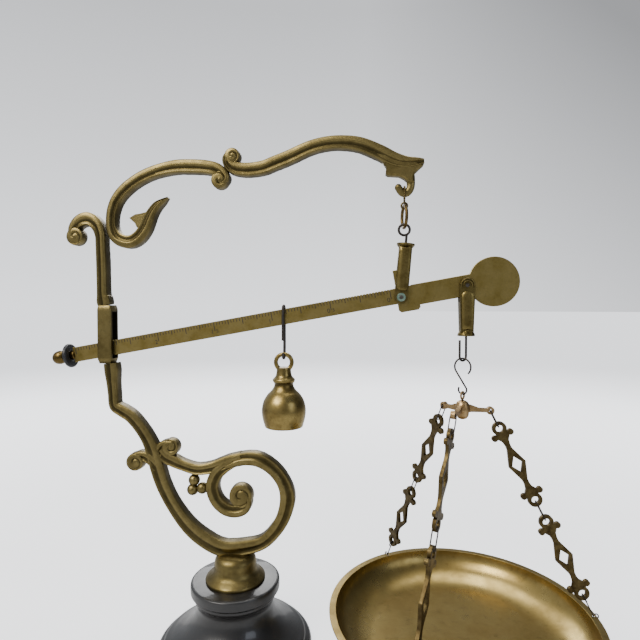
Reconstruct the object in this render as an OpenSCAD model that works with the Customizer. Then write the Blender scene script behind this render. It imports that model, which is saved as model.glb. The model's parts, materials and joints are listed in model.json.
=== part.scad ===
// Steelyard kitchen scale: an unequal-arm beam hung from a scrolled brass stand,
// with a sliding poise on the graduated arm and a chained pan on the short arm.
// Origin: centre of the base's underside. +X runs along the beam to the pan,
// +Y away from the graduated face, +Z up.

/* [Base] */
// Height of the base with its felt
base_h = 72; // [60:1:90]
// Radius of the foot
foot_r = 78; // [62:1:95]
// Radius of the plinth's top
plinth_r = 45; // [34:1:56]
// Thickness of the felt under the foot
felt_t = 1.5; // [1:0.5:3]
// Radius of the stud that holds the stand to the base
stud_r = 4; // [3:0.5:5]

/* [Stand castings] */
// Depth of the castings from front to back
cast_d = 13; // [10:0.5:16]
// Width of the post
post_w = 15; // [12:0.5:18]
// X of the post's centre
post_x = -134.5; // [-150:0.5:-120]
// Height of the lower scroll casting above the base
scroll_h = 220; // [183:1:264]
// Height of the beam guide
guide_h = 60; // [50:1:72]
// Depth of the beam guide from front to back
guide_d = 16; // [14:0.5:20]
// Solid metal below the guide's slot
guide_sill = 5; // [4:0.5:8]
// Solid metal above the guide's slot
guide_lintel = 7; // [5:0.5:10]
// Height of the arm casting's lifting hook above the guide
hook_rise = 109.2; // [100:0.2:130]
// X of the lifting hook
hook_x = 170; // [160:0.5:185]
// Depth of the lifting hook from front to back
hook_d = 6; // [5:0.5:8]
// Radius of the studs inside the post's joints
joint_stud_r = 2.2; // [1.8:0.1:2.6]

/* [Hanger] */
// Wire radius of the twisted loop
loop_wire = 1; // [0.8:0.1:1.3]
// Mean radius of the brass ring
ring_r = 10.6; // [9:0.2:13]
// Wire radius of the brass ring
ring_wire = 1.6; // [1.3:0.1:2]
// Mean radius of the iron eye
eye_r = 5.3; // [4.8:0.1:6.5]
// Wire radius of the iron eye
eye_wire = 1.25; // [1:0.05:1.5]
// Distance from the ring's lowest wire to the fulcrum
shackle_drop = 68.2; // [60:0.2:82]
// Distance that the fulcrum lies left of the hanger
fulcrum_shift = 3; // [0:0.5:5]

/* [Beam] */
// Thickness of the beam and its disc
beam_t = 5; // [4:0.5:7]
// Height of the graduated arm
bar_h = 15.5; // [12.5:0.5:18.5]
// Length of the graduated arm from the fulcrum
bar_len = 343; // [325:1:412]
// Distance of the arm's lower edge below the fulcrum
bar_low = 6; // [5:0.5:7]
// Height of the short arm
neck_bar_h = 20.6; // [18:0.2:24]
// Distance from the fulcrum to the load pivot
load_arm = 64; // [56:0.5:77]
// Radius of the end disc
disc_r = 24; // [20:0.5:29]
// Radius of the two pivot pins
pin_r = 2; // [1.5:0.1:2.4]
// Outer radius of the collar ring
collar_r = 12.5; // [11:0.5:15]

/* [Poise] */
// Largest radius of the poise
poise_r = 22.2; // [18.5:0.1:26.5]
// Height of the poise's body under its ring
poise_h = 60.5; // [52:0.5:72]
// Mean radius of the poise's ring
poise_ring_r = 8.1; // [7.5:0.1:9.5]
// Wire radius of the poise hook
poise_wire = 1.5; // [1.2:0.1:1.8]
// Distance of the poise from the fulcrum along the beam
poise_at = 116.6; // [100:0.2:139]
// Length of the poise hook, from the beam's edge to the poise's ring
poise_hook_len = 45.5; // [38:0.5:55]

/* [Load side] */
// Length of the load shackle below its pivot
load_shackle_len = 49; // [42:0.5:58]
// Length of the wire hook in the load shackle
u_hook_len = 24; // [20:0.5:29]
// Distance between the wire hook's legs
u_hook_gap = 8.3; // [7.5:0.1:10]
// Wire radius of the wire hook
u_wire = 1.1; // [0.9:0.05:1.3]
// Mean radius of the S hook's upper loop
s_top_r = 8.3; // [7:0.1:10]
// Mean radius of the S hook's lower loop
s_low_r = 4.2; // [3.8:0.1:5]
// Distance between the centres of the S hook's loops
s_span = 22.3; // [19:0.1:26.8]
// Wire radius of the S hook
s_wire = 0.85; // [0.7:0.05:1]

/* [Pan and chains] */
// Radius of the spider at its lugs
spider_r = 26.5; // [22:0.5:32]
// Outer radius of the pan
pan_r = 129.5; // [108:0.5:132]
// Depth of the pan
pan_depth = 28; // [23:0.5:34]
// Thickness of the pan
pan_t = 1.1; // [1:0.1:2]
// Distance between a cast link's ring centres
link_len = 77; // [64:0.5:84]
// Thickness of a cast link
link_t = 3.4; // [2.8:0.1:4]
// Radius of the hole in a cast link's ring
link_hole_r = 3.5; // [3.1:0.1:4.2]
// Width of metal round a cast link's hole
link_wall = 3.4; // [2.8:0.1:4]
// Wire radius of the joining wires
wire_r = 0.6; // [0.5:0.05:0.7]
// Centre distance across the top wires
top_gap = 19.5; // [18:0.5:23]
// Centre distance across the middle wires
mid_gap = 24; // [21:0.5:27]
// Centre distance across the rim wires
rim_gap = 25; // [21:0.5:29]

/* [Hidden] */

$fn = 48;
run_gap = 0.05;      // radial clearance of a pin that turns in a hole
loop_gap = 0.3;      // space between wires and rings that hang in each other
side_gap = 0.6;      // space on each side of the beam in a shackle
slot_side = 2.2;     // space on each side of the beam in the guide
rest_gap = 0.4;      // space under the beam where it rests in the guide
nut_h = 6.5;
washer_t = 1.6;

// Stand heights
guide_z = base_h + scroll_h;
slot_z = guide_z + guide_sill;
slot_h = guide_h - guide_sill - guide_lintel;
arm_z = guide_z + guide_h;
hook_z = arm_z + hook_rise;       // centre of the lifting hook's lowest metal
hook_w = 7;                       // width of the lifting hook's metal there
lower_stud_x = post_x + 4;        // where the joint studs stand inside the post
upper_stud_x = post_x - 2;
stud_in = 13;                     // depth of a joint stud in each scroll casting

// Hanger heights: each part hangs in the one above with loop_gap to spare
loop_r = hook_d / 2 + loop_wire + 1.3;
loop_arc = sqrt(pow(loop_r - loop_wire, 2) - pow(hook_d / 2, 2));
loop_top_z = hook_z + hook_w / 2 + 0.5 - loop_arc;
loop_low_z = hook_z - hook_w / 2 - loop_gap + 0.8;
loop_eye_r = loop_wire + ring_wire + loop_gap;
ring_top_z = loop_low_z - loop_r - loop_wire - loop_eye_r;
ring_low_z = ring_top_z - 2 * ring_r;
eye_z = ring_low_z + ring_wire + loop_gap + eye_wire - eye_r;

// Fulcrum, and the angle at which the beam rests on the slot's sill
ful = [hook_x - fulcrum_shift, 0, ring_low_z - shackle_drop];
sill = [post_x - post_w / 2, slot_z + rest_gap];
sill_run = ful[0] - sill[0];
sill_drop = ful[2] - sill[1];
beam_angle = atan(sill_drop / sill_run)
    - asin(bar_low / sqrt(sill_run * sill_run + sill_drop * sill_drop));
lintel = [post_x + post_w / 2, slot_z + slot_h - rest_gap];
lintel_run = ful[0] - lintel[0];
lintel_drop = ful[2] - lintel[1];
bar_top = bar_h - bar_low;
top_angle = atan(lintel_drop / lintel_run)
    + asin(bar_top / sqrt(lintel_run * lintel_run + lintel_drop * lintel_drop));
shackle_lean = 5;

// Load side, from the load pivot down
load_x = ful[0] + load_arm * cos(beam_angle);
load_z = ful[2] + load_arm * sin(beam_angle);
cheek_in = beam_t / 2 + side_gap;
cheek_t = 3;
cheek_out = cheek_in + cheek_t;
load_foot_z = load_z - load_shackle_len;
u_dir = 34;                        // heading of the wire hook's plane
s_dir = -36;                       // heading of the S hook's plane
u_low_z = load_foot_z - u_hook_len;
hang_x = load_x - u_hook_gap / 2 * cos(u_dir);
hang_y = -u_hook_gap / 2 * sin(u_dir);
s_top_z = u_low_z + u_wire + s_wire + loop_gap - s_top_r;
s_low_z = s_top_z - s_span;
spider_eye_wire = 1;
spider_eye_r = 3.4;
eye_on_s_z = s_low_z - s_low_r + s_wire + spider_eye_wire + loop_gap - spider_eye_r;
hub_z = eye_on_s_z - spider_eye_r - 11;    // height of the spider's lugs
lug_r = 3.8;
lug_hole_r = 1.6;
lug_t = 4.2;
wire_gap = 0.25;                   // space beside the metal that a joining wire goes round

// Chains: one straight line from a lug to the pan's rim
rim_flange = 5.5;
rim_hole_at = pan_r - 3;
rim_hole_r = 1.5;
chain_len = top_gap + 2 * link_len + mid_gap + rim_gap;
chain_lean = asin((rim_hole_at - spider_r) / chain_len);
rim_z = hub_z - chain_len * cos(chain_lean);
chain_first = 2;                   // heading of the first chain

// Poise, hung on the beam's top edge
poise_top = [ful[0] - poise_at * cos(beam_angle), ful[2] - poise_at * sin(beam_angle)];
hook_leg = beam_t / 2 + side_gap + poise_wire;
poise_x = poise_top[0] - bar_top * sin(beam_angle);
edge_z = poise_top[1] + bar_top * cos(beam_angle);
hook_arc = sqrt(pow(hook_leg - poise_wire, 2) - pow(beam_t / 2, 2));
hook_top_z = edge_z + poise_wire * tan(beam_angle) + 0.1 - hook_arc;
poise_ring_wire = 2.1;
poise_hook_r = poise_ring_wire + poise_wire + loop_gap;
poise_ring_top_z = edge_z - poise_hook_len;
poise_ring_z = poise_ring_top_z - poise_ring_r;

BRASS = "#8a7434";
CAST = "#7a6534";
IRON = "#33302d";
CHAIN = "#4a3d22";

// Catmull-Rom point between b and c
function cr(a, b, c, d, t) = 0.5 * (2 * b + (c - a) * t
    + (2 * a - 5 * b + 4 * c - d) * t * t + (3 * b - a - 3 * c + d) * t * t * t);
function at(p, i) = p[max(0, min(len(p) - 1, i))];
function curve(p, n) = concat([for (i = [0:len(p) - 2], k = [0:n - 1])
    cr(at(p, i - 1), p[i], p[i + 1], at(p, i + 2), k / n)], [p[len(p) - 1]]);
function xz(v) = [v[0], v[1]];
function side(q, i, s) = let (a = xz(at(q, i - 1)), b = xz(at(q, i + 1)), d = b - a)
    xz(q[i]) + s * q[i][2] / 2 * [-d[1], d[0]] / norm(d);

// A flat strip along points [x, z, width]
module strip(p, n = 4) {
    q = curve(p, n);
    last = len(q) - 1;
    polygon(concat([for (i = [0:last]) side(q, i, 1)],
                   [for (i = [0:last]) side(q, last - i, -1)]));
}

// Stand flat X-Z outlines up, thick from front to back
module upright(depth) {
    for (i = [0:$children - 1])
        rotate([90, 0, 0]) translate([0, 0, -depth / 2]) linear_extrude(depth) children(i);
}

module rod(r, h) { cylinder(r = r, h = h, $fn = 32); }

// A round wire bent round the Y axis: from angle a through sweep, in the X-Z plane
module wire_arc(r, wire, a = 0, sweep = 360) {
    rotate([90, 0, 0]) rotate([0, 0, a]) rotate_extrude(angle = sweep, $fn = 48)
        translate([r, 0]) circle(wire, $fn = 24);
}

// ---- base ----

module base_felt() {
    color("#2c4a33") cylinder(r = foot_r - 2, h = felt_t);
}

module base_plinth() {
    h = base_h - felt_t;
    color("#161616") translate([0, 0, felt_t]) difference() {
        rotate_extrude($fn = 96) polygon([
            [0, 0], [foot_r - 1.5, 0], [foot_r, 1.5], [foot_r, 0.1 * h], [foot_r - 2, 0.13 * h],
            [foot_r - 6, 0.15 * h], [foot_r - 7, 0.19 * h], [foot_r - 13, 0.24 * h],
            [plinth_r + 8, 0.34 * h], [plinth_r - 2, 0.48 * h], [plinth_r - 6, 0.62 * h],
            [plinth_r - 6, 0.72 * h], [plinth_r - 3, 0.8 * h], [plinth_r - 3, 0.83 * h],
            [plinth_r, 0.86 * h], [plinth_r, h - 2], [plinth_r - 2, h], [0, h]]);
        translate([0, 0, -1]) rod(stud_r + 0.3, h + 2);
        translate([0, 0, -1]) rod(16, 1 + nut_h + washer_t + 4);
    }
}

module base_stud() {
    color(IRON) translate([0, 0, felt_t + 1.5]) rod(stud_r, base_h + 12 - felt_t - 1.5);
}

module base_washer() {
    color(IRON) translate([0, 0, felt_t + nut_h + 4]) difference() {
        rod(stud_r + 7, washer_t);
        translate([0, 0, -1]) rod(stud_r + 0.3, washer_t + 2);
    }
}

module base_nut() {
    color(IRON) translate([0, 0, felt_t + 4]) difference() {
        cylinder(r = stud_r * 1.9, h = nut_h, $fn = 6);
        translate([0, 0, -1]) rod(stud_r, nut_h + 2);
    }
}

// ---- stand castings ----

// Lower scroll: [x, height above the base, width], at its drawn height of 220
stem = [[4.4, 222, 12.5], [5.2, 212, 13], [6, 200, 10.5], [7, 188, 9.8], [7.6, 178.5, 9.8],
        [10, 174.2, 10.5], [17, 170.3, 11.5], [26, 164.5, 11.5], [35, 154.5, 11.5],
        [43, 142.5, 12], [48.5, 130, 13.5], [53.5, 112, 14], [59.5, 94, 13],
        [70, 74, 12.5], [85, 54, 14], [102, 40, 16], [122, 31, 16.5], [144, 33, 14.5],
        [163, 39, 12.5], [176.5, 52, 12.5], [185.5, 68, 13.5], [189, 86, 14.5], [184.5, 102, 13],
        [173, 116, 13], [157.5, 124, 13.5], [140, 123.5, 13.5], [125, 117, 11.5]];
branch = [[66, 124, 12], [81, 115.5, 9.5], [95, 112, 10.5], [110, 114, 11], [128, 120.5, 13],
          [142, 124, 13]];
volute = [[130, 120, 11.5], [117, 109, 11.5], [111.5, 94, 12.5], [116, 80, 12], [126, 71, 12],
          [138, 70, 11.5]];
berries = [[90.5, 100.2], [99.5, 91], [89.8, 90]];
berry_r = 5.5;
drawn_h = 220;

module lower_scroll() {
    k = scroll_h / drawn_h;
    stretch = [for (q = stem) [q[0], q[1] * k, q[2]]];
    neck_h = 26;
    color(CAST) difference() {
        union() {
            translate([post_x, 0, base_h]) upright(cast_d) {
                strip(stretch);
                strip([for (q = branch) [q[0], q[1] * k, q[2]]]);
                strip([for (q = volute) [q[0], q[1] * k, q[2]]]);
                translate([141, 86.5 * k]) circle(12.3);
                translate([30, 118 * k]) circle(9.3);
                translate([38.5, 120 * k]) circle(6.5);
                translate([68, 134.3 * k]) circle(8.8);
                translate([59, 129 * k]) circle(7.5);
            }
            for (b = berries) translate([post_x + b[0], 0, base_h + b[1] * k]) sphere(berry_r);
            translate([0, 0, base_h]) rotate_extrude($fn = 64) polygon([
                [0, 0], [30, 0], [30, 3], [27, 5.5], [22.5, 8], [21.3, 13], [21.5, 20],
                [18, neck_h], [0, neck_h]]);
        }
        translate([0, 0, base_h - 1]) rod(stud_r, 13);
        translate([post_x - post_w, -post_w, guide_z]) cube([2 * post_w, 2 * post_w, 10]);
        translate([lower_stud_x, 0, guide_z - stud_in]) rod(joint_stud_r, stud_in + 1);
    }
}

module beam_guide() {
    slot_w = beam_t + 2 * slot_side;
    color(CAST) difference() {
        translate([post_x - post_w / 2, -guide_d / 2, guide_z]) cube([post_w, guide_d, guide_h]);
        translate([post_x - post_w, -slot_w / 2, slot_z]) cube([2 * post_w, slot_w, slot_h]);
        translate([lower_stud_x, 0, guide_z - 1]) rod(joint_stud_r, guide_sill + 1);
        translate([upper_stud_x, 0, arm_z - guide_lintel]) rod(joint_stud_r, guide_lintel + 1);
    }
}

// Scroll arm: [x from the post, height above the guide, width]
post_top = [[-1.8, -2, 12.5], [-2.6, 5, 12.5], [-3.4, 13, 10], [-4, 45, 10], [-4.6, 62, 9.5],
            [-5, 72, 10], [-8, 81, 12], [-14, 87.5, 13.5], [-21, 89.3, 14], [-29, 87, 12.5],
            [-35, 80, 11]];
arm = [[66.5, 109.5, 1.5], [61, 105.5, 4.5], [55, 101, 7], [49.5, 93.5, 9], [46, 86, 10.5],
       [42, 77.5, 11.5], [35.5, 69.5, 12], [27, 65, 12.3], [18, 66.2, 12.3], [11, 71, 11.5],
       [7.3, 79, 9.8], [6.8, 88, 9.5], [8.2, 97.5, 9.8], [12.5, 108, 10], [20.5, 117.5, 10.5],
       [31, 125.5, 10.5], [43, 132, 10.8], [57, 136.7, 11.3], [75, 140, 12.5], [91, 140, 13],
       [107, 138.8, 12.8], [120, 137, 12.5], [134, 135.6, 12.5], [150, 135.3, 12.5],
       [165, 137, 12.5], [176, 141, 12.5], [191, 146.5, 12.5], [211, 155, 12], [228, 159, 12],
       [245, 160, 12.3], [262, 157, 13], [280, 149, 13.5], [294, 141, 13]];
beak = [[283, 147.5, 13], [298, 140.5, 12], [310, 138, 9.5], [319, 138.2, 6.5], [324, 138.8, 3]];
hook_neck = [[-1, 0, 7], [2.2, 1, 7], [4.6, 4.4, 7], [5.2, 10, 7.6], [3.2, 19, 10], [-4, 29, 13]];
hook_tip = [[0.2, 0, 7], [-3.3, 0.9, 7], [-6.2, 4.4, 6.6]];

module scroll_arm() {
    color(CAST) difference() {
        union() {
            translate([post_x, 0, arm_z]) upright(cast_d) {
                strip(post_top);
                strip(arm);
                strip(beak);
                translate([-32, 71]) circle(9.2);
                polygon([[28.5, 88.6], [33.5, 91.8], [40, 93.2], [46, 95], [46, 84], [36, 80.5],
                         [33.5, 84]]);
                translate([134, 149]) circle(8);
                translate([121, 125.5]) circle(8.8);
                polygon([[285.5, 127.5], [300, 122.5], [302, 140], [285.5, 145]]);
            }
            translate([hook_x + 0.9, 0, hook_z]) upright(hook_d) {
                strip(hook_neck);
                strip(hook_tip);
                translate([-6.8, 5.6]) circle(3.8);
            }
            translate([hook_x - 5, 0, hook_z + 19]) upright(hook_d) circle(8);
        }
        translate([post_x - post_w, -post_w, arm_z - 10]) cube([2 * post_w, 2 * post_w, 10]);
        translate([upper_stud_x, 0, arm_z - 1]) rod(joint_stud_r, stud_in + 1);
    }
}

module post_studs() {
    color(IRON) {
        translate([lower_stud_x, 0, guide_z - stud_in]) rod(joint_stud_r, stud_in + guide_sill);
        translate([upper_stud_x, 0, arm_z - guide_lintel]) rod(joint_stud_r, stud_in + guide_lintel);
    }
}

// ---- hanger ----

// A closed loop of wire with straight sides along Z, its plane at a heading
module long_loop(r, wire, top_z, low_z) {
    translate([0, 0, top_z]) wire_arc(r, wire, 0, 180);
    translate([0, 0, low_z]) wire_arc(r, wire, 180, 180);
    for (s = [-1, 1]) translate([s * r, 0, low_z - 0.01]) rod(wire, top_z - low_z + 0.02);
}

module hanger_loop() {
    color(BRASS) translate([hook_x, 0, 0]) {
        rotate([0, 0, 90]) long_loop(loop_r, loop_wire, loop_top_z, loop_low_z);
        translate([0, 0, ring_top_z]) wire_arc(loop_eye_r, loop_wire);
        translate([0, 0, ring_top_z + loop_eye_r]) rod(loop_wire * 0.9, loop_wire * 1.5);
    }
}

module hanger_ring() {
    color(BRASS) translate([hook_x, 0, (ring_top_z + ring_low_z) / 2])
        rotate([0, 0, 90]) wire_arc(ring_r, ring_wire);
}

// ---- fulcrum shackle, leaning about the fulcrum ----

shackle_top = eye_z - eye_r - ful[2] - 8;
head_h = 14;

module in_shackle() {
    translate(ful) rotate([0, shackle_lean, 0]) children();
}

module shackle_eye() {
    color(IRON) union() {
        translate([hook_x, 0, eye_z]) wire_arc(eye_r, eye_wire);
        in_shackle() translate([0, 0, shackle_top - head_h + 3])
            rod(eye_wire, eye_z - eye_r - ful[2] - shackle_top + head_h + 1.5 - 3);
    }
}

module fulcrum_shackle() {
    w = 12.4;
    color(BRASS) in_shackle() difference() {
        union() {
            upright(2 * cheek_out) {
                circle(6.6);
                polygon([[-6.4, 1.5], [6.4, 1.5], [w / 2, shackle_top - 3], [-w / 2, shackle_top - 3]]);
            }
            translate([0, 0, shackle_top - 4.5]) cylinder(r1 = 6.4, r2 = 8.8, h = 3);
            translate([0, 0, shackle_top - 1.5]) cylinder(r = 8.8, h = 1.5);
        }
        translate([-20, -cheek_in, -20]) cube([40, 2 * cheek_in, shackle_top - head_h + 20]);
        rotate([90, 0, 0]) translate([0, 0, -20]) rod(pin_r + run_gap, 40);
        translate([0, 0, shackle_top - head_h - 1]) rod(eye_wire + run_gap, head_h + 2);
    }
}

// ---- beam ----

module in_beam() {
    translate(ful) rotate([0, -beam_angle, 0]) children();
}

module beam() {
    neck_half = neck_bar_h / 2;
    color(BRASS) in_beam() difference() {
        upright(beam_t) {
            polygon([[-bar_len, -bar_low], [-4, -bar_low], [-4, -13], [-2, -14.8], [15, -14.8],
                     [17, -13], [17, -neck_half], [load_arm + 10, -neck_half],
                     [load_arm + 10, neck_half], [12, neck_half], [9, bar_top], [3.6, bar_top],
                     [3.6, 27], [-3.4, 27], [-3.4, bar_top], [-bar_len, bar_top]]);
            translate([load_arm + 26, -1]) circle(disc_r, $fn = 96);
        }
        for (s = [0, load_arm]) translate([s, 0, 0]) rotate([90, 0, 0])
            translate([0, 0, -20]) rod(pin_r, 40);
        translate([-bar_len - 1, 0, bar_h / 2 - bar_low]) rotate([0, 90, 0]) rod(1.6, 13);
    }
}

collar_hole = 4.6;
collar_t = 4.6;

// Ball-ended knob on a shank, screwed into the bar's end
module beam_end_knob() {
    color(BRASS) in_beam() translate([-bar_len, 0, bar_h / 2 - bar_low]) rotate([0, -90, 0]) {
        rod(4.4, 14);
        translate([0, 0, 17]) sphere(7);
        translate([0, 0, -10]) rod(1.6, 11);
    }
}

module beam_collar() {
    color("#1c1c1f") in_beam() translate([-bar_len, 0, bar_h / 2 - bar_low]) rotate([0, -90, 0])
        translate([0, 0, 2.6]) rotate_extrude($fn = 64) polygon([
            [collar_hole, 1], [collar_hole + 1, 0], [collar_r - 1.6, 0], [collar_r, 1.4],
            [collar_r, collar_t - 1.4], [collar_r - 1.6, collar_t], [collar_hole + 1, collar_t],
            [collar_hole, collar_t - 1]]);
}

washer_r = 4.2;
pin_head = 1.2;

module pivot_pin(half) { rotate([90, 0, 0]) translate([0, 0, -half]) rod(pin_r, 2 * half); }

module fulcrum_pin() {
    color(IRON) translate(ful) pivot_pin(cheek_out + 0.3 + pin_head);
}

module fulcrum_washers() {
    color("#5f7a6a") translate(ful) for (s = [-1, 1])
        translate([0, s * (cheek_out + 0.3 + pin_head / 2), 0]) rotate([90, 0, 0]) difference() {
            translate([0, 0, -pin_head / 2]) rod(washer_r, pin_head);
            translate([0, 0, -2]) rod(pin_r, 4);
        }
}

module load_pin() {
    color(IRON) translate([load_x, 0, load_z]) pivot_pin(cheek_out - 0.4);
}

// ---- poise ----

module poise_hook() {
    color(IRON) translate([poise_x, 0, 0]) rotate([0, 0, 90]) {
        low = poise_ring_top_z;
        bend = low + 9;
        translate([0, 0, hook_top_z]) wire_arc(hook_leg, poise_wire, 0, 180);
        translate([-hook_leg, 0, low + 14]) rod(poise_wire, hook_top_z - low - 14);
        translate([hook_leg, 0, bend]) rod(poise_wire, hook_top_z - bend);
        translate([hook_leg, 0, bend]) sphere(poise_wire);
        hull() {
            translate([hook_leg, 0, bend]) sphere(poise_wire, $fn = 24);
            translate([poise_hook_r, 0, low + 2]) sphere(poise_wire, $fn = 24);
        }
        translate([poise_hook_r, 0, low]) rod(poise_wire, 2);
        translate([0, 0, low]) wire_arc(poise_hook_r, poise_wire, 180, 180);
        translate([-poise_hook_r, 0, low]) rod(poise_wire, 2);
    }
}

// Turned bell-shaped weight with a cast ring
module poise() {
    z0 = poise_ring_z - poise_ring_r + 3;
    profile = [
        [0, 0], [0.306, 0], [0.333, 5], [0.369, 8.5], [0.477, 11.4], [0.505, 12.8],
        [0.486, 14.4], [0.435, 16], [0.432, 18.5], [0.486, 21], [0.586, 23.9], [0.70, 26.3],
        [0.805, 29.3], [0.9, 33], [0.963, 37.3], [0.995, 41.5], [1, 44.5], [0.99, 47.5],
        [0.955, 52], [0.88, 58], [0.83, 59.8], [0.41, 60.4], [0, 60.5]];
    color(BRASS) translate([poise_x, 0, 0]) {
        translate([0, 0, poise_ring_z]) wire_arc(poise_ring_r, poise_ring_wire);
        translate([0, 0, z0]) rotate_extrude($fn = 72)
            polygon([for (p = profile) [p[0] * poise_r, -p[1] * poise_h / 60.5]]);
    }
}

// ---- load side ----

module load_shackle() {
    slot_top = neck_bar_h / 2 + 6;
    len = load_shackle_len;
    color(BRASS) translate([load_x, 0, load_z]) difference() {
        union() {
            upright(2 * cheek_out) {
                circle(7.6);
                polygon([[-7.5, 1], [7.5, 1], [6, 4 - len], [-6, 4 - len]]);
            }
            translate([0, 0, -len]) cylinder(r = 8.2, h = 1.6);
            translate([0, 0, 1.6 - len]) cylinder(r1 = 8.2, r2 = 5.9, h = 4.5);
        }
        translate([-20, -cheek_in, -slot_top]) cube([40, 2 * cheek_in, slot_top + 20]);
        rotate([90, 0, 0]) translate([0, 0, -20]) rod(pin_r + run_gap, 40);
        translate([0, 0, -len - 1]) rod(u_wire + run_gap, len - slot_top + 2);
    }
}

// Wire hook with its shank through the shackle's foot and a head above it
module load_hook() {
    slot_floor = load_z - neck_bar_h / 2 - 6;
    half = u_hook_gap / 2;
    color(IRON) translate([load_x, 0, 0]) rotate([0, 0, u_dir]) {
        bend_z = u_low_z + half;
        translate([0, 0, bend_z]) rod(u_wire, slot_floor + 0.2 - bend_z + 1);
        translate([0, 0, slot_floor + 0.2]) rod(2.2, 1.4);
        translate([-half, 0, bend_z]) wire_arc(half, u_wire, 180, 180);
        translate([-2 * half, 0, bend_z]) rod(u_wire, u_hook_len - half - 4);
    }
}

module s_hook() {
    cross = asin((s_top_r + s_low_r) / s_span);
    run = s_span * cos(cross);
    color(IRON) translate([hang_x, hang_y, 0]) rotate([0, 0, s_dir]) {
        translate([0, 0, s_top_z]) wire_arc(s_top_r, s_wire, -48, 228 + cross);
        translate([0, 0, s_low_z]) wire_arc(s_low_r, s_wire, -210, 210 + cross);
        translate([s_low_r * cos(cross), 0, s_low_z + s_low_r * sin(cross)])
            rotate([0, -cross, 0]) translate([0, 0, -0.01]) rod(s_wire, run + 0.02);
    }
}

// ---- spider, chains and pan ----

module on_hang() { translate([hang_x, hang_y, 0]) children(); }

// Heading of chain k, and the frame of its line: origin at the lug, -Z down the chain
module chain(k) {
    on_hang() rotate([0, 0, chain_first + 120 * (k - 1)]) translate([spider_r, 0, hub_z])
        rotate([0, -chain_lean, 0]) children();
}

module spider() {
    color("#a08a5c") on_hang() difference() {
        union() {
            translate([0, 0, hub_z]) rotate_extrude() polygon([
                [0, 9.5], [3, 9.4], [5.2, 8], [6.6, 5], [7.3, 1.5], [7.2, -0.5], [6.4, -2],
                [5.8, -5.5], [4, -7.8], [2, -8.6], [0, -8.8]]);
            for (k = [0:2]) rotate([0, 0, chain_first + 120 * k]) {
                translate([0, 0, hub_z]) upright(lug_t) polygon([
                    [3, 6.6], [9, 5], [16, 2.4], [spider_r - 2, 2], [spider_r - 2, -1.6],
                    [15, -1.4], [8, -1.4], [3, -2.2]]);
                translate([spider_r, 0, hub_z]) upright(lug_t) circle(lug_r, $fn = 32);
            }
        }
        for (k = [0:2]) rotate([0, 0, chain_first + 120 * k]) translate([spider_r, 0, hub_z])
            upright(10) circle(lug_hole_r, $fn = 24);
        translate([0, 0, hub_z + 3]) rod(spider_eye_wire + 0.2, 8);
    }
}

module spider_eye() {
    color("#8a6f4a") on_hang() {
        translate([0, 0, eye_on_s_z]) rotate([0, 0, s_dir + 90])
            wire_arc(spider_eye_r, spider_eye_wire);
        translate([0, 0, hub_z + 3]) rod(spider_eye_wire + 0.2, 8.1);
    }
}

// How far a wire's bend reaches past the corners of the metal that it goes round
function bend_over(thick) = sqrt(pow(thick / 2 + wire_gap, 2) - pow(thick / 2, 2)) - 0.05;

// Wire loop from a hole of radius a in metal of thickness ta to one of radius b in tb
module joining_wire(gap, a, ta, b, tb) {
    half = max(ta, tb) / 2 + wire_r + wire_gap;
    thick = max(ta, tb);
    rotate([0, 0, 90])
        long_loop(half, wire_r, -a - bend_over(thick), -gap + b + bend_over(thick));
}

module top_wire(k) {
    color(IRON) chain(k) joining_wire(top_gap, lug_hole_r, lug_t, link_hole_r, link_t);
}

module middle_wire(k) {
    color(IRON) chain(k) translate([0, 0, -top_gap - link_len])
        joining_wire(mid_gap, link_hole_r, link_t, link_hole_r, link_t);
}

// Flat cast link: a ring with two lobes at each end, and an open diamond between
module cast_link() {
    ring = link_hole_r + link_wall;
    mid = link_len / 2;
    half = [[8, 4.8], [6, 9.5], [3.4, 13], [2.4, 18], [2.6, 22], [8.6, mid]];
    last = len(half) - 1;
    difference() {
        union() {
            upright(link_t) polygon(concat(
                [for (q = half) [q[0], -q[1]]],
                [for (i = [1:last]) [half[last - i][0], half[last - i][1] - link_len]],
                [for (i = [0:last - 1]) [-half[i][0], half[i][1] - link_len]],
                [for (i = [0:last]) [-half[last - i][0], -half[last - i][1]]]));
            for (s = [0, 1]) translate([0, 0, -s * link_len]) rotate([0, 180 * s, 0])
                upright(link_t) {
                    circle(ring, $fn = 40);
                    translate([8.2, -7.2]) circle(3, $fn = 24);
                    translate([-8.2, -7.2]) circle(3, $fn = 24);
                }
        }
        upright(link_t + 2) {
            circle(link_hole_r, $fn = 32);
            translate([0, -link_len]) circle(link_hole_r, $fn = 32);
            polygon([[0, -mid + 8.5], [5.4, -mid], [0, -mid - 8.5], [-5.4, -mid]]);
        }
    }
}

module upper_link(k) {
    color(CHAIN) chain(k) translate([0, 0, -top_gap]) cast_link();
}

module lower_link(k) {
    color(CHAIN) chain(k) translate([0, 0, -top_gap - link_len - mid_gap]) cast_link();
}

// Rim wire: an eye through the last link, a shank, and an eye through the rim's hole
module rim_wire(k) {
    half = link_t / 2 + wire_r + wire_gap;
    top = -link_hole_r - bend_over(link_t);
    low = -link_hole_r - link_wall - wire_gap;
    end = 0.8;
    color(IRON) {
        chain(k) translate([0, 0, rim_gap - chain_len]) {
            rotate([0, 0, 90]) long_loop(half, wire_r, top, low);
            translate([0, 0, end - rim_gap]) rod(wire_r, rim_gap + low - half - end);
        }
        on_hang() rotate([0, 0, chain_first + 120 * (k - 1)])
            translate([rim_hole_at, 0, rim_z - pan_t / 2]) translate([rim_eye, 0, 0])
            wire_arc(rim_eye, wire_r);
    }
}

rim_eye = (pan_r - rim_hole_at + wire_r + 0.4) / 2 + 0.4;

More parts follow.
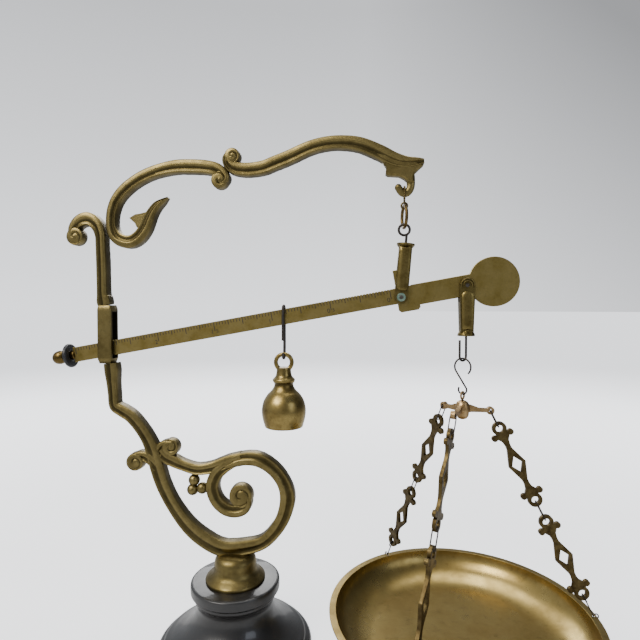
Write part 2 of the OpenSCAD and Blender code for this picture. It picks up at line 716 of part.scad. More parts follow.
module pan() {
    wall_r = pan_r - rim_flange;
    steps = 8;
    bend = pan_depth - pan_t;
    sweep = [for (i = [0:steps]) let (a = 90 * i / steps) [sin(a), 1 - cos(a)]];
    floor_r = wall_r - 1.4 * bend;
    outer = [for (p = sweep) [floor_r + 1.4 * bend * p[0], rim_z - pan_depth + bend * p[1]]];
    inner = [for (p = sweep) [floor_r + (1.4 * bend - pan_t) * p[0],
                              rim_z - pan_depth + pan_t + bend * p[1]]];
    last = len(sweep) - 1;
    color(BRASS) on_hang() difference() {
        rotate_extrude($fn = 120) polygon(concat(
            [[0, rim_z - pan_depth]], outer, [[pan_r, rim_z - pan_t], [pan_r, rim_z]],
            [for (i = [0:last]) inner[last - i]], [[0, rim_z - pan_depth + pan_t]]));
        for (k = [0:2]) rotate([0, 0, chain_first + 120 * k])
            translate([rim_hole_at, 0, rim_z - 10]) rod(rim_hole_r, 20);
    }
}

base_felt();
base_plinth();
base_stud();
base_washer();
base_nut();
lower_scroll();
beam_guide();
scroll_arm();
post_studs();
hanger_loop();
hanger_ring();
shackle_eye();
fulcrum_shackle();
beam();
beam_end_knob();
beam_collar();
fulcrum_pin();
fulcrum_washers();
load_pin();
poise_hook();
poise();
load_shackle();
load_hook();
s_hook();
spider();
spider_eye();
pan();
for (k = [1:3]) {
    top_wire(k);
    upper_link(k);
    middle_wire(k);
    lower_link(k);
    rim_wire(k);
}
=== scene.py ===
"""An antique steelyard kitchen scale: a graduated brass beam with a sliding poise, hung from a
scrolled cast stand, and a spun pan on three chains. Sections follow the order of assembly."""

import json
import math

import bmesh
import bpy
import numpy as np
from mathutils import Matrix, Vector


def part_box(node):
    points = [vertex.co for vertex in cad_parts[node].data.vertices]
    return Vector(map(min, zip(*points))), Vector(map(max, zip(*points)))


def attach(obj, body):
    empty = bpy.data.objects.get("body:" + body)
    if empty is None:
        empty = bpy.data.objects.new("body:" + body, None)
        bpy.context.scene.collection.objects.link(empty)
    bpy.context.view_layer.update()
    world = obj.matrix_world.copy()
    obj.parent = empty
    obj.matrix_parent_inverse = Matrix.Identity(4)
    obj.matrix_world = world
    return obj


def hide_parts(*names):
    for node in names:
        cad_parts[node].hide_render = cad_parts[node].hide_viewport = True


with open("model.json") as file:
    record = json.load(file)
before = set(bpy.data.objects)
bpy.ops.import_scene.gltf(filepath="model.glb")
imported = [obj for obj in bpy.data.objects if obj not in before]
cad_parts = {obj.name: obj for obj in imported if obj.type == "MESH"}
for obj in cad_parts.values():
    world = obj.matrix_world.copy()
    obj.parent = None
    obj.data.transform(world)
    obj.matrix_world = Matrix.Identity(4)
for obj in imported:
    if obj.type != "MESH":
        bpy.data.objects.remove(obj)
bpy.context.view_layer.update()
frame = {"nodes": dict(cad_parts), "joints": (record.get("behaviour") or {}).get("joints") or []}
MM = 0.001

# ---- camera ----
# Stands half a metre in front of the beam, a little below it, and looks level into the scale.
camera = bpy.data.objects.new("camera", bpy.data.cameras.new("camera"))
bpy.context.scene.collection.objects.link(camera)
bpy.context.scene.camera = camera
camera.location = (0.1333, -0.4971, 0.3502)
camera.rotation_euler = (math.radians(90 - 1.5), 0, math.radians(5.3))
camera.data.sensor_width = 36
camera.data.lens = 28.125
camera.data.clip_start = 0.01


# ---- floor and light ----
# A pale matt table top, its paint mixed with a painted glow, under a soft grey studio: a broad key
# lamp high on the left, a weak fill on the right, one lamp above and one behind, and a surround
# that dims to the right, so that the brass has a light side and a dark side.
def linear(code):
    """sRGB hex colour to linear RGBA: c/12.92 below 0.04045, ((c+0.055)/1.055)^2.4 above."""
    parts = [int(code[i:i + 2], 16) / 255 for i in (1, 3, 5)]
    return [c / 12.92 if c <= 0.04045 else ((c + 0.055) / 1.055) ** 2.4 for c in parts] + [1.0]


def add(tree, kind, inputs=None, **settings):
    """Adds one node. settings are its properties; inputs are its sockets, each given a value or
    another node's output."""
    node = tree.nodes.new(kind)
    for key, value in settings.items():
        setattr(node, key, value)
    for key, value in (inputs or {}).items():
        if isinstance(value, bpy.types.NodeSocket):
            tree.links.new(value, node.inputs[key])
        else:
            node.inputs[key].default_value = value
    return node


def start_material(name):
    """An empty node material, and its tree."""
    material = bpy.data.materials.new(name)
    material.use_nodes = True
    material.node_tree.nodes.clear()
    return material, material.node_tree


def close_material(tree, shader):
    """Sends a shader to the material's output."""
    add(tree, "ShaderNodeOutputMaterial", {"Surface": shader.outputs[0]})


# Painted table top: matt, off-white, with faint clouds some 150 mm across, mixed with a painted
# glow:
# an emission that takes over towards the distance and also throws a weak light up on the scale.
table_paint_and_glow, tree = start_material("matt_table_paint_and_glow")
where = add(tree, "ShaderNodeTexCoord").outputs["Object"]
clouds = add(tree, "ShaderNodeTexNoise", {"Vector": where, "Scale": 7.0, "Detail": 4.0})
tone = add(tree, "ShaderNodeMix", {"Factor": clouds.outputs[0], "A": linear("#dcdcdc"),
                                   "B": linear("#ececec")}, data_type="RGBA")
paint = add(tree, "ShaderNodeBsdfPrincipled",
            {"Base Color": tone.outputs["Result"], "Roughness": 0.7})
reach = add(tree, "ShaderNodeVectorMath", {0: where}, operation="LENGTH")
far = add(tree, "ShaderNodeMapRange", {"Value": reach.outputs["Value"], "From Min": 0.3,
                                       "From Max": 1.8, "To Min": 0.45},
          interpolation_type="SMOOTHSTEP")
glow = add(tree, "ShaderNodeMapRange",
           {"Value": add(tree, "ShaderNodeLightPath").outputs["Is Camera Ray"],
            "To Min": 0.2, "To Max": 1.0})
near = add(tree, "ShaderNodeMapRange", {"Value": reach.outputs["Value"], "From Min": 0.4,
                                        "From Max": 3.0, "To Min": 4.6, "To Max": 2.2},
           interpolation_type="SMOOTHSTEP")
power = add(tree, "ShaderNodeMath", {0: near.outputs[0], 1: glow.outputs[0]},
            operation="MULTIPLY")
# The painted glow: the table emits light, five times as bright to the camera as in the light it
# casts on the scale.
painted_glow = add(tree, "ShaderNodeEmission", {"Color": linear("#dfe1e5"),
                                        "Strength": power.outputs[0]})
close_material(tree, add(tree, "ShaderNodeMixShader",
                         {0: far.outputs[0], 1: paint.outputs[0], 2: painted_glow.outputs[0]}))
floor_r, floor_sides = 40, 96
turn = np.linspace(0, 2 * np.pi, floor_sides + 1)[:-1]
floor_mesh = bpy.data.meshes.new("table_top")
floor_mesh.from_pydata(np.c_[floor_r * np.cos(turn), floor_r * np.sin(turn), 0 * turn].tolist(),
                       [], [list(range(floor_sides))])
floor_mesh.materials.append(table_paint_and_glow)
floor = bpy.data.objects.new("table_top", floor_mesh)
bpy.context.scene.collection.objects.link(floor)

# The surround: the wall seen behind the scale darkens upwards and to the right, and the light that
# it throws on the scale comes mostly from the left.
world = bpy.data.worlds.new("studio")
bpy.context.scene.world = world
world.use_nodes = True
tree = world.node_tree
tree.nodes.clear()
heading = add(tree, "ShaderNodeSeparateXYZ",
              {"Vector": add(tree, "ShaderNodeTexCoord").outputs["Generated"]})
right = add(tree, "ShaderNodeMapRange", {"Value": heading.outputs["X"], "From Min": 0.0,
                                         "From Max": 0.62})
high = add(tree, "ShaderNodeMapRange", {"Value": heading.outputs["Z"], "From Min": 0.0,
                                        "From Max": 0.5})
away = add(tree, "ShaderNodeMath", {0: right.outputs[0], 1: high.outputs[0]}, operation="ADD")
dim = add(tree, "ShaderNodeMapRange", {"Value": away.outputs[0], "From Max": 1.5, "To Min": 2.2,
                                       "To Max": 0.55})
seen = add(tree, "ShaderNodeBackground", {"Color": linear("#dfe1e5"),
                                          "Strength": dim.outputs[0]})
side = add(tree, "ShaderNodeMapRange", {"Value": heading.outputs["X"], "From Min": -1.0,
                                        "From Max": 1.0, "To Min": 1.0, "To Max": 0.06})
around = add(tree, "ShaderNodeBackground", {"Color": linear("#e4e8ee"),
                                            "Strength": side.outputs[0]})
direct = add(tree, "ShaderNodeLightPath").outputs["Is Camera Ray"]
both = add(tree, "ShaderNodeMixShader", {0: direct, 1: around.outputs[0], 2: seen.outputs[0]})
add(tree, "ShaderNodeOutputWorld", {"Surface": both.outputs[0]})


def lamp(name, place, target, size, watts, colour):
    """A square soft lamp at place, aimed at target."""
    light = bpy.data.lights.new(name, "AREA")
    light.shape = "SQUARE"
    light.size = size
    light.energy = watts
    light.color = linear(colour)[:3]
    holder = bpy.data.objects.new(name, light)
    holder.location = place
    aim = Vector(target) - Vector(place)
    holder.rotation_euler = aim.to_track_quat("-Z", "Y").to_euler()
    bpy.context.scene.collection.objects.link(holder)


middle = (0.05, 0, 0.3)
lamp("key", (-0.9, -1.1, 1.7), middle, 1.2, 46, "#fffaf2")
lamp("fill", (1.5, -1.1, 0.9), middle, 0.9, 7, "#e8f0ff")
lamp("top", (0.1, 0.5, 1.9), middle, 1.2, 24, "#ffffff")
lamp("back", (-0.4, 1.5, 1.1), middle, 0.9, 12, "#ffffff")


# ---- base ----
# The foot is a heavy turned iron casting, dipped in black japan, with a felt pad glued under it.
# A stud comes up through it into the stand, with a washer and nut in the recess below.
rng = np.random.default_rng(5)


def revolve(profile, sides=96, closed=False):
    """Surface of revolution: profile rows (radius, height) turned about Z.
    point(i, j) = (r_i cos a_j, r_i sin a_j, h_i). A closed profile joins its last row to its
    first; an open one ends on the axis in a fan."""
    profile = np.asarray(profile, float)
    a = np.arange(sides) * 2 * np.pi / sides
    rings = np.stack([profile[:, :1] * np.cos(a), profile[:, :1] * np.sin(a),
                      np.repeat(profile[:, 1:2], sides, 1)], -1)
    return skin(rings, closed)


def skin(rings, closed=False):
    """Quads between neighbouring closed rings[i, j]. The last ring meets the first if closed, and
    each end is otherwise a fan about the ring's mean point. Returns vertices and faces."""
    n, m = rings.shape[:2]
    i, j = np.meshgrid(np.arange(n if closed else n - 1), np.arange(m), indexing="ij")
    low, high = i * m, ((i + 1) % n) * m
    quads = np.stack([low + j, low + (j + 1) % m, high + (j + 1) % m, high + j], -1)
    faces = quads.reshape(-1, 4).tolist()
    points = rings.reshape(-1, 3)
    if not closed:
        k = np.arange(m)
        ends = np.r_[np.c_[(k + 1) % m, k, np.full(m, n * m)],
                     np.c_[(n - 1) * m + k, (n - 1) * m + (k + 1) % m, np.full(m, n * m + 1)]]
        points = np.vstack([points, rings[0].mean(0), rings[-1].mean(0)])
        faces += ends.tolist()
    return points, faces


def catmull(points, steps):
    """Catmull-Rom curve through the rows of points, steps to a stretch:
    q = (2b + (c-a)t + (2a-5b+4c-d)t^2 + (3b-a-3c+d)t^3) / 2."""
    p = np.asarray(points, float)
    p = np.vstack([p[:1], p, p[-1:]])
    t = (np.arange(steps) / steps)[None, :, None]
    a, b, c, d = (p[i:len(p) - 3 + i, None] for i in range(4))
    q = 0.5 * (2 * b + (c - a) * t + (2 * a - 5 * b + 4 * c - d) * t ** 2
               + (3 * b - a - 3 * c + d) * t ** 3)
    return np.vstack([q.reshape(-1, p.shape[1]), p[-1:]])


def smooth_profile(rows, steps=5):
    """A turned profile: the curve through the rows, kept off the far side of the axis."""
    q = catmull(rows, steps)
    q[:, 0] = np.maximum(q[:, 0], 0)
    return q


def piece(name, parts, material, body, slot, replaces, wear_and_shade=None, sharp=38):
    """One mesh object from parts [(points in metres, faces)], shaded smooth up to an angle, riding
    on a body and standing for CAD nodes. wear_and_shade is 0 in recesses, painted dark as shade and
    tarnish, to 1 on ridges, painted bright as highlight and rubbing."""
    points, faces, start = [], [], 0
    for p, f in parts:
        points.append(p)
        faces += [[v + start for v in face] for face in f]
        start += len(p)
    points = np.vstack(points)
    mesh = bpy.data.meshes.new(name)
    mesh.from_pydata(points.tolist(), [], faces)
    mesh.validate()
    work = bmesh.new()
    work.from_mesh(mesh)
    bmesh.ops.recalc_face_normals(work, faces=work.faces)
    work.to_mesh(mesh)
    work.free()
    values = np.full(len(mesh.vertices), 0.5) if wear_and_shade is None else np.concatenate(wear_and_shade)
    mesh.attributes.new("wear_and_shade", "FLOAT", "POINT").data.foreach_set("value", values)
    return settle(name, mesh, material, body, replaces, sharp)


def settle(name, mesh, material, body, replaces, sharp):
    """Puts a finished mesh in the scene with its material and shading, hangs it on its body's empty
    and hides the CAD nodes it replaces.
    """
    mesh.polygons.foreach_set("use_smooth", np.ones(len(mesh.polygons), bool))
    mesh.set_sharp_from_angle(angle=math.radians(sharp))
    mesh.materials.clear()
    mesh.materials.append(material)
    made = bpy.data.objects.new(name, mesh)
    bpy.context.scene.collection.objects.link(made)
    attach(made, body)
    if replaces:
        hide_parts(*replaces)
    return made


def dress(name, node, material, body, bevel=0.35, sharp=35):
    """A copy of a CAD node with its loose triangles merged, its flats made whole, its corners
    rounded by bevel mm, and a finish."""
    mesh = frame["nodes"][node].data.copy()
    work = bmesh.new()
    work.from_mesh(mesh)
    bmesh.ops.remove_doubles(work, verts=work.verts, dist=0.002 * MM)
    bmesh.ops.dissolve_limit(work, angle_limit=math.radians(0.6), verts=work.verts,
                             edges=work.edges)
    bmesh.ops.recalc_face_normals(work, faces=work.faces)
    work.to_mesh(mesh)
    work.free()
    mesh.attributes.new("wear_and_shade", "FLOAT", "POINT").data.foreach_set(
        "value", np.full(len(mesh.vertices), 0.5))
    made = settle(name, mesh, material, body, [node], sharp)
    if bevel:
        corner = made.modifiers.new("rounded_corners", "BEVEL")
        corner.width = bevel * MM
        corner.segments = 2
        corner.limit_method = "ANGLE"
        corner.angle_limit = math.radians(32)
        corner.harden_normals = False
    return made


def metal(name, bright, dull, dark, rough, blotch, grain, depth, stretch=(1, 1, 1), tilt=0.0,
          metallic=1.0, coat=0.0, spots=0.35):
    """A tarnished metal. Clouds blotch mm across run from bright to dull; where the wear_and_shade
    attribute is low, dark tarnish and painted shade gather, where it is high, rubbed brightness and
    painted highlight, and dark stains sit in small spots; grain mm scratches or cast pits, drawn
    out by stretch in a frame turned by tilt degrees about Y, give the bump of depth mm."""
    material, tree = start_material(name)
    place = add(tree, "ShaderNodeTexCoord").outputs["Object"]
    cloud = add(tree, "ShaderNodeTexNoise", {"Vector": place, "Scale": 1 / (blotch * MM),
                                             "Detail": 6.0, "Roughness": 0.6})
    cloudy = add(tree, "ShaderNodeMapRange", {"Value": cloud.outputs[0], "From Min": 0.34,
                                              "From Max": 0.66})
    drawn = add(tree, "ShaderNodeMapping", {"Vector": place, "Rotation": (0, math.radians(tilt), 0),
                                            "Scale": stretch})
    fine = add(tree, "ShaderNodeTexNoise", {"Vector": drawn.outputs[0], "Scale": 1 / (grain * MM),
                                            "Detail": 5.0, "Roughness": 0.7})
    speck = add(tree, "ShaderNodeTexNoise", {"Vector": place, "Scale": 1 / (0.22 * blotch * MM),
                                             "Detail": 3.0, "Roughness": 0.75})
    spotty = add(tree, "ShaderNodeMapRange", {"Value": speck.outputs[0], "From Min": 0.56,
                                              "From Max": 0.72, "To Max": spots})
    wear_and_shade_fac = add(tree, "ShaderNodeAttribute", attribute_name="wear_and_shade").outputs["Fac"]
    # Painted shade with tarnish where wear_and_shade falls below 0.5, painted highlight with
    # rubbing above it.
    tarnish_and_shade = add(tree, "ShaderNodeMapRange", {"Value": wear_and_shade_fac, "From Min": 0.0, "From Max": 0.5,
                                              "To Min": 0.95, "To Max": 0.0})
    rub_and_highlight = add(tree, "ShaderNodeMapRange", {"Value": wear_and_shade_fac, "From Min": 0.5, "From Max": 1.0,
                                             "To Min": 0.0, "To Max": 0.7})
    base = add(tree, "ShaderNodeMix", {"Factor": cloudy.outputs[0], "A": linear(dull),
                                       "B": linear(bright)}, data_type="RGBA")
    rubbed_and_highlit = add(tree, "ShaderNodeMix", {"Factor": rub_and_highlight.outputs[0], "A": base.outputs["Result"],
                                         "B": linear(bright)}, data_type="RGBA")
    spots_and_shade = add(tree, "ShaderNodeMath", {0: tarnish_and_shade.outputs[0], 1: spotty.outputs[0]},
               operation="MAXIMUM")
    stained_and_shaded = add(tree, "ShaderNodeMix", {"Factor": spots_and_shade.outputs[0],
                                          "A": rubbed_and_highlit.outputs["Result"], "B": linear(dark)},
                  data_type="RGBA")
    sheen = add(tree, "ShaderNodeMath", {0: cloudy.outputs[0], 1: fine.outputs[0]},
                operation="MULTIPLY")
    gloss = add(tree, "ShaderNodeMapRange", {"Value": sheen.outputs[0], "From Min": 0.0,
                                             "From Max": 0.7, "To Min": rough + 0.12,
                                             "To Max": rough - 0.07})
    relief = add(tree, "ShaderNodeBump", {"Height": fine.outputs[0], "Distance": depth * MM,
                                          "Strength": 0.6})
    inputs = {"Base Color": stained_and_shaded.outputs["Result"], "Roughness": gloss.outputs[0],
              "Normal": relief.outputs[0], "Metallic": metallic}
    if coat:
        inputs["Coat Weight"] = coat
    close_material(tree, add(tree, "ShaderNodeBsdfPrincipled", inputs))
    return material


# Black japan over cast iron: a baked tar varnish, nearly black, glossy where it is whole and brown
# and dull where handling has worn it thin.
japan = metal("black_japan_on_cast_iron", "#171514", "#0d0d0d", "#2b211a", 0.32, 30, 1.2, 0.05,
              metallic=0.0, coat=0.4, spots=0.5)
# Dark steel fixings under the base: turned bar, oiled, with a thin brown oxide.
fixing_steel = metal("oiled_turned_steel", "#6b6660", "#4a4540", "#2d2621", 0.42, 8, 0.3, 0.02)

base_low, base_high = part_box("base_plinth")
foot_r = base_high[0] / MM
base_h = base_high[2] / MM
felt_t = base_low[2] / MM
top_r = 45.0
recess_r = 16.0
stud_hole_r = 4.3
recess_top = felt_t + 11.1
drawn = base_h - felt_t
turned = smooth_profile([
    [foot_r - 0.4, felt_t + 0.6], [foot_r, felt_t + 2], [foot_r - 0.2, felt_t + 0.075 * drawn],
    [foot_r - 2, felt_t + 0.12 * drawn], [foot_r - 6.2, felt_t + 0.15 * drawn],
    [foot_r - 7.4, felt_t + 0.19 * drawn], [foot_r - 14, felt_t + 0.235 * drawn],
    [top_r + 7.4, felt_t + 0.34 * drawn], [top_r - 2, felt_t + 0.48 * drawn],
    [top_r - 6, felt_t + 0.62 * drawn], [top_r - 5.8, felt_t + 0.72 * drawn],
    [top_r - 3.2, felt_t + 0.79 * drawn], [top_r - 3, felt_t + 0.83 * drawn],
    [top_r - 0.4, felt_t + 0.86 * drawn], [top_r, felt_t + 0.89 * drawn],
    [top_r, base_h - 2], [top_r - 1, base_h - 0.5], [top_r - 3, base_h]], 6)
under = [[stud_hole_r, base_h], [stud_hole_r, recess_top], [recess_r, recess_top],
         [recess_r, felt_t], [foot_r - 1.5, felt_t]]
body_of_base = revolve(np.vstack([turned, under]) * MM, 128, closed=True)
piece("turned_iron_base", [body_of_base], japan, "stand", "japanned_iron", ["base_plinth"])
for node, name in (("base_stud", "stand_stud"), ("base_washer", "stand_washer"),
                   ("base_nut", "stand_nut"), ("post_studs", "joint_studs")):
    dress(name, node, fixing_steel, "stand", 0.3)

# Pressed wool felt: dark green, matt, with a short fibrous nap.
felt, tree = start_material("pressed_green_felt")
where = add(tree, "ShaderNodeTexCoord").outputs["Object"]
nap = add(tree, "ShaderNodeTexNoise", {"Vector": where, "Scale": 1400.0, "Detail": 4.0})
shade = add(tree, "ShaderNodeMix", {"Factor": nap.outputs[0], "A": linear("#16301d"),
                                    "B": linear("#34573c")}, data_type="RGBA")
fluff = add(tree, "ShaderNodeBump", {"Height": nap.outputs[0], "Distance": 0.3 * MM})
close_material(tree, add(tree, "ShaderNodeBsdfPrincipled",
                         {"Base Color": shade.outputs["Result"], "Roughness": 0.95,
                          "Normal": fluff.outputs[0], "Sheen Weight": 0.5}))
dress("felt_pad", "base_felt", felt, "stand", 0.4)


# ---- stand castings ----
# Two sand castings and the guide between them, in a yellow brass poured in an open-backed mould:
# the front is filed to a ridge, a hollow and a bead, and the rear edges are left rough. Their
# hollows, inner walls and backs carry painted shade with the tarnish, and their ridges and beads
# painted highlight with the rubbing.
cast_brass = metal("sand_cast_brass", "#817348", "#5b502f", "#201b0e", 0.36, 16, 1.1, 0.16)

guide_low, guide_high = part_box("beam_guide")
post_x = (guide_low[0] + guide_high[0]) / 2 / MM
guide_z = guide_low[2] / MM
arm_z = guide_high[2] / MM
cast_d = (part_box("scroll_arm")[1][1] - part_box("scroll_arm")[0][1]) / MM
JOINT = {j["name"]: j for j in frame["joints"]}

# Across runs from the inner edge -1 to the outer edge 1; back from the front -1 to the rear 1.
# wear_and_shade is low in the hollow and over the rear, painted shade with tarnish, and high on the
# ridge and the bead, painted highlight with rubbing.
BAND = np.array([  # across, back, wear and painted shade
    [1.00, -0.30, 0.30], [1.00, -0.62, 0.50], [0.95, -0.80, 0.60], [0.78, -0.92, 0.60],
    [0.50, -0.99, 0.66], [0.26, -1.00, 0.80], [0.15, -1.00, 1.00], [0.08, -0.95, 0.50],
    [-0.02, -0.84, 0.20], [-0.28, -0.74, 0.12], [-0.52, -0.74, 0.20], [-0.66, -0.84, 0.50],
    [-0.78, -0.90, 0.95], [-0.92, -0.84, 0.65], [-1.00, -0.66, 0.40], [-1.00, 0.30, 0.20],
    [-0.99, 0.85, 0.10], [-0.92, 1.00, 0.05], [0.92, 1.00, 0.05], [0.99, 0.85, 0.10],
    [1.00, 0.30, 0.20]])
ROUND = np.array([[math.cos(a), math.sin(a), 0.55] for a in np.arange(16) * math.pi / 8])


def strap(points, place, depth, hand=1, steps=8, section=BAND, ragged=0.28):
    """A casting's band: the section carried along the curve [x, height, width].
    point = curve + normal * across * width/2, with back * depth/2 along Y. The depth shrinks
    towards a narrow tip, and the rear corners get ragged mm of roughness."""
    q = catmull(points, steps)
    step = np.gradient(q[:, :2], axis=0)
    step /= np.linalg.norm(step, axis=1)[:, None]
    normal = np.c_[-step[:, 1], step[:, 0]] * hand
    half = q[:, 2:3] / 2 + 0.35
    across = half * section[None, :, 0]
    rear = np.clip((section[:, 1] - 0.1) / 0.6, 0, 1) * (np.abs(section[:, 0]) > 0.85)
    across = across * (1 - ragged / 8 * rear * rng.random(across.shape))
    thin = np.clip(half / 3.5, 0.3, 1) ** 0.6
    x = place[0] + q[:, :1] + normal[:, :1] * across
    z = place[1] + q[:, 1:2] + normal[:, 1:] * across
    y = thin * depth / 2 * section[None, :, 1]
    wear_and_shade = np.repeat(section[None, :, 2], len(q), 0).reshape(-1)
    return skin(np.stack([x, y, z], -1) * MM), np.r_[wear_and_shade, 0.3, 0.3]


def scroll_eye(centre, r, depth, place, hand=1, turns=1.25):
    """The boss at a curl's end: a dome over (radius u, angle a), front and back alike, with a
    groove where a + 2 pi turns (1-u) is whole turns, and a button in its middle.
    height = depth/2 (0.72 + 0.28 sqrt(1-u^4) + 0.1 exp(-(u/0.2)^2) - 0.16 groove)."""
    u, a = np.linspace(1, 0.02, 20), np.arange(48) * 2 * np.pi / 48
    phase = (hand * a[None, :] + 2 * np.pi * turns * (1 - u[:, None])) % (2 * np.pi) - np.pi
    groove = np.exp(-(phase / 0.75) ** 2) * np.clip((0.95 - u[:, None]) / 0.15, 0, 1)
    groove = groove * np.clip(u[:, None] / 0.3, 0, 1)
    crown = np.sqrt(1 - np.minimum(u[:, None], 0.995) ** 4)
    face = 0.72 + 0.28 * crown + 0.1 * np.exp(-(u[:, None] / 0.2) ** 2) - 0.16 * groove
    face[0] = 0.3
    x = place[0] + centre[0] + r * u[:, None] * np.cos(a)
    z = place[1] + centre[1] + r * u[:, None] * np.sin(a)
    front = np.stack([x, -face * depth / 2, z], -1)
    rear = np.stack([x, 0 * x + depth / 2 * (0.5 + 0.45 * crown), z], -1)
    # Painted shade in the spiral groove and over the whole rear, and a painted highlight on a ring
    # near the rim, along with tarnish and rubbing.
    wear_and_shade = 0.62 - 0.5 * groove + 0.3 * np.exp(-((u[:, None] - 0.8) / 0.12) ** 2)
    both = np.vstack([front[::-1], rear])
    return skin(both * MM), np.r_[wear_and_shade[::-1].reshape(-1), np.full(wear_and_shade.size, 0.15), 0.9, 0.2]


def ball(centre, r, place):
    """A bead: sphere of radius r about (x, height)."""
    a = np.linspace(-np.pi / 2 + 0.05, np.pi / 2 - 0.05, 13)
    rings, faces = revolve(np.c_[r * np.cos(a), r * np.sin(a)], 20)
    return (rings + [place[0] + centre[0], 0, place[1] + centre[1]]) * MM, faces


def plate(outline, half_t, chamfer, put):
    """A flat plate with chamfered edges: the outline at full size between the chamfers, and drawn
    in by chamfer along each corner's mean normal on both faces."""
    ahead = np.roll(outline, -1, 0) - outline
    ahead /= np.linalg.norm(ahead, axis=1)[:, None]
    normal = np.c_[-ahead[:, 1], ahead[:, 0]]
    mean = normal + np.roll(normal, 1, 0)
    mean /= np.maximum((mean ** 2).sum(1) / 2, 0.7)[:, None]
    inner = outline + chamfer * mean
    rings = [put(inner[:, 0], -half_t, inner[:, 1]),
             put(outline[:, 0], -half_t + chamfer, outline[:, 1]),
             put(outline[:, 0], half_t - chamfer, outline[:, 1]),
             put(inner[:, 0], half_t, inner[:, 1])]
    n = len(outline)
    points, faces = skin(np.array(rings))
    faces = [f for f in faces if len(f) == 4] + [list(range(n))[::-1], list(range(3 * n, 4 * n))]
    return points[:4 * n], faces


def cast(name, bits, slot, replaces, **more):
    """A casting from bits [((points, faces), wear and painted shade)]."""
    return piece(name, [b[0] for b in bits], cast_brass, "stand", slot, replaces,
                 wear_and_shade=[b[1] for b in bits], **more)


foot_place = (post_x, base_h)
stem = [[4.4, 219.9, 13], [5.2, 212, 13.5], [6, 200, 10.8], [7, 188, 9.8], [7.6, 178.5, 9.8],
        [10, 174.2, 10.5], [17, 170.3, 11.5], [26, 164.5, 11.5], [35, 154.5, 11.5],
        [43, 142.5, 12], [48.5, 130, 13.5], [53.5, 112, 14], [59.5, 94, 13],
        [70, 74, 12.5], [85, 54, 14], [102, 40, 15.5], [122, 31, 15.5], [144, 33, 14.5],
        [163, 39, 12.5], [176.5, 52, 12.5], [185.5, 68, 13.5], [189, 86, 14.5], [184.5, 102, 13],
        [173, 116, 13], [157.5, 124, 13.5], [140, 123.5, 12], [125, 117, 8]]
branch = [[56, 130, 9], [62, 124, 11], [70, 120, 11.5], [81, 115.5, 10], [95, 112, 10.5],
          [110, 114, 11], [128, 120.5, 12.5], [142, 124, 13]]
volute = [[134, 121, 10], [124, 115, 11.5], [115, 106, 12], [111.5, 94, 12.5], [116, 80.5, 12.5],
          [126, 72, 12.5], [137, 70.5, 12], [145, 74, 10.5], [148, 82, 8], [144, 87, 6]]
left_curl = [[54, 112, 10], [48, 119, 10], [41, 123.5, 10], [34, 124.5, 8.5], [28, 122, 6.5],
             [27, 118, 5]]
right_curl = [[52, 120, 9], [54, 128, 9.5], [58.5, 135, 8.5], [65, 138, 6.5], [70, 136, 5]]
scroll_foot = smooth_profile([[30, 0.2], [30.2, 1.4], [29.6, 3], [27, 5.2], [23.6, 8], [21.6, 12],
                              [21.2, 18], [19.4, 23], [14, 26.2], [0.01, 27.4]], 5)
sole = [[0.01, 0], [29.4, 0]]
foot_points, foot_faces = revolve(np.vstack([sole, scroll_foot]), 72)
foot_part = (np.asarray(foot_points) + [0, 0, base_h]) * MM, foot_faces
bits = [strap(stem, foot_place, cast_d), strap(branch, foot_place, cast_d * 0.92),
        strap(volute, foot_place, cast_d * 0.96, hand=-1),
        strap(left_curl, foot_place, cast_d * 0.9, hand=-1),
        strap(right_curl, foot_place, cast_d * 0.9),
        scroll_eye((141.3, 86.3), 12.2, cast_d * 1.02, foot_place, hand=-1, turns=1.5),
        scroll_eye((30, 118), 9.3, cast_d, foot_place, hand=-1),
        scroll_eye((68, 134.3), 8.8, cast_d, foot_place)]
for berry in ((91.5, 100), (100, 91.8), (89.8, 90)):
    part = ball(berry, 5.9, foot_place)
    bits.append((part, np.full(len(part[0]), 0.6)))
bits.append((foot_part, np.full(len(foot_points), 0.45)))
cast("lower_scroll_casting", bits, "cast_brass", ["lower_scroll"])


def squared(half_w, half_d, round_off, height):
    """A rectangle with rounded corners at a height: 4 points to each corner arc."""
    a = np.radians(np.r_[np.linspace(0, 90, 4), np.linspace(90, 180, 4),
                         np.linspace(180, 270, 4), np.linspace(270, 360, 4)])
    sx = np.repeat([1, -1, -1, 1], 4) * (half_w - round_off)
    sy = np.repeat([1, 1, -1, -1], 4) * (half_d - round_off)
    return np.c_[sx + round_off * np.cos(a), sy + round_off * np.sin(a), np.full(16, height)]


# The guide is a square block with a pinched moulding at each end and a milled slot, in which the
# beam's tail rises and falls. It is cut from its block with a slot-shaped tool.
guide_half_w = (guide_high[0] - guide_low[0]) / 2 / MM
guide_half_d = (guide_high[1] - guide_low[1]) / 2 / MM
guide_h = arm_z - guide_z
rows = [(0.84, 0), (0.88, 1.5), (0.99, 4.6), (1.0, 6), (1.0, guide_h - 5.5),
        (0.985, guide_h - 3.6), (0.93, guide_h - 1.6), (0.86, guide_h)]
block = np.array([squared(guide_half_w * k, guide_half_d * k, 1.3, guide_z + z) for k, z in rows])
block_part = skin((block + [post_x, 0, 0]) * MM)
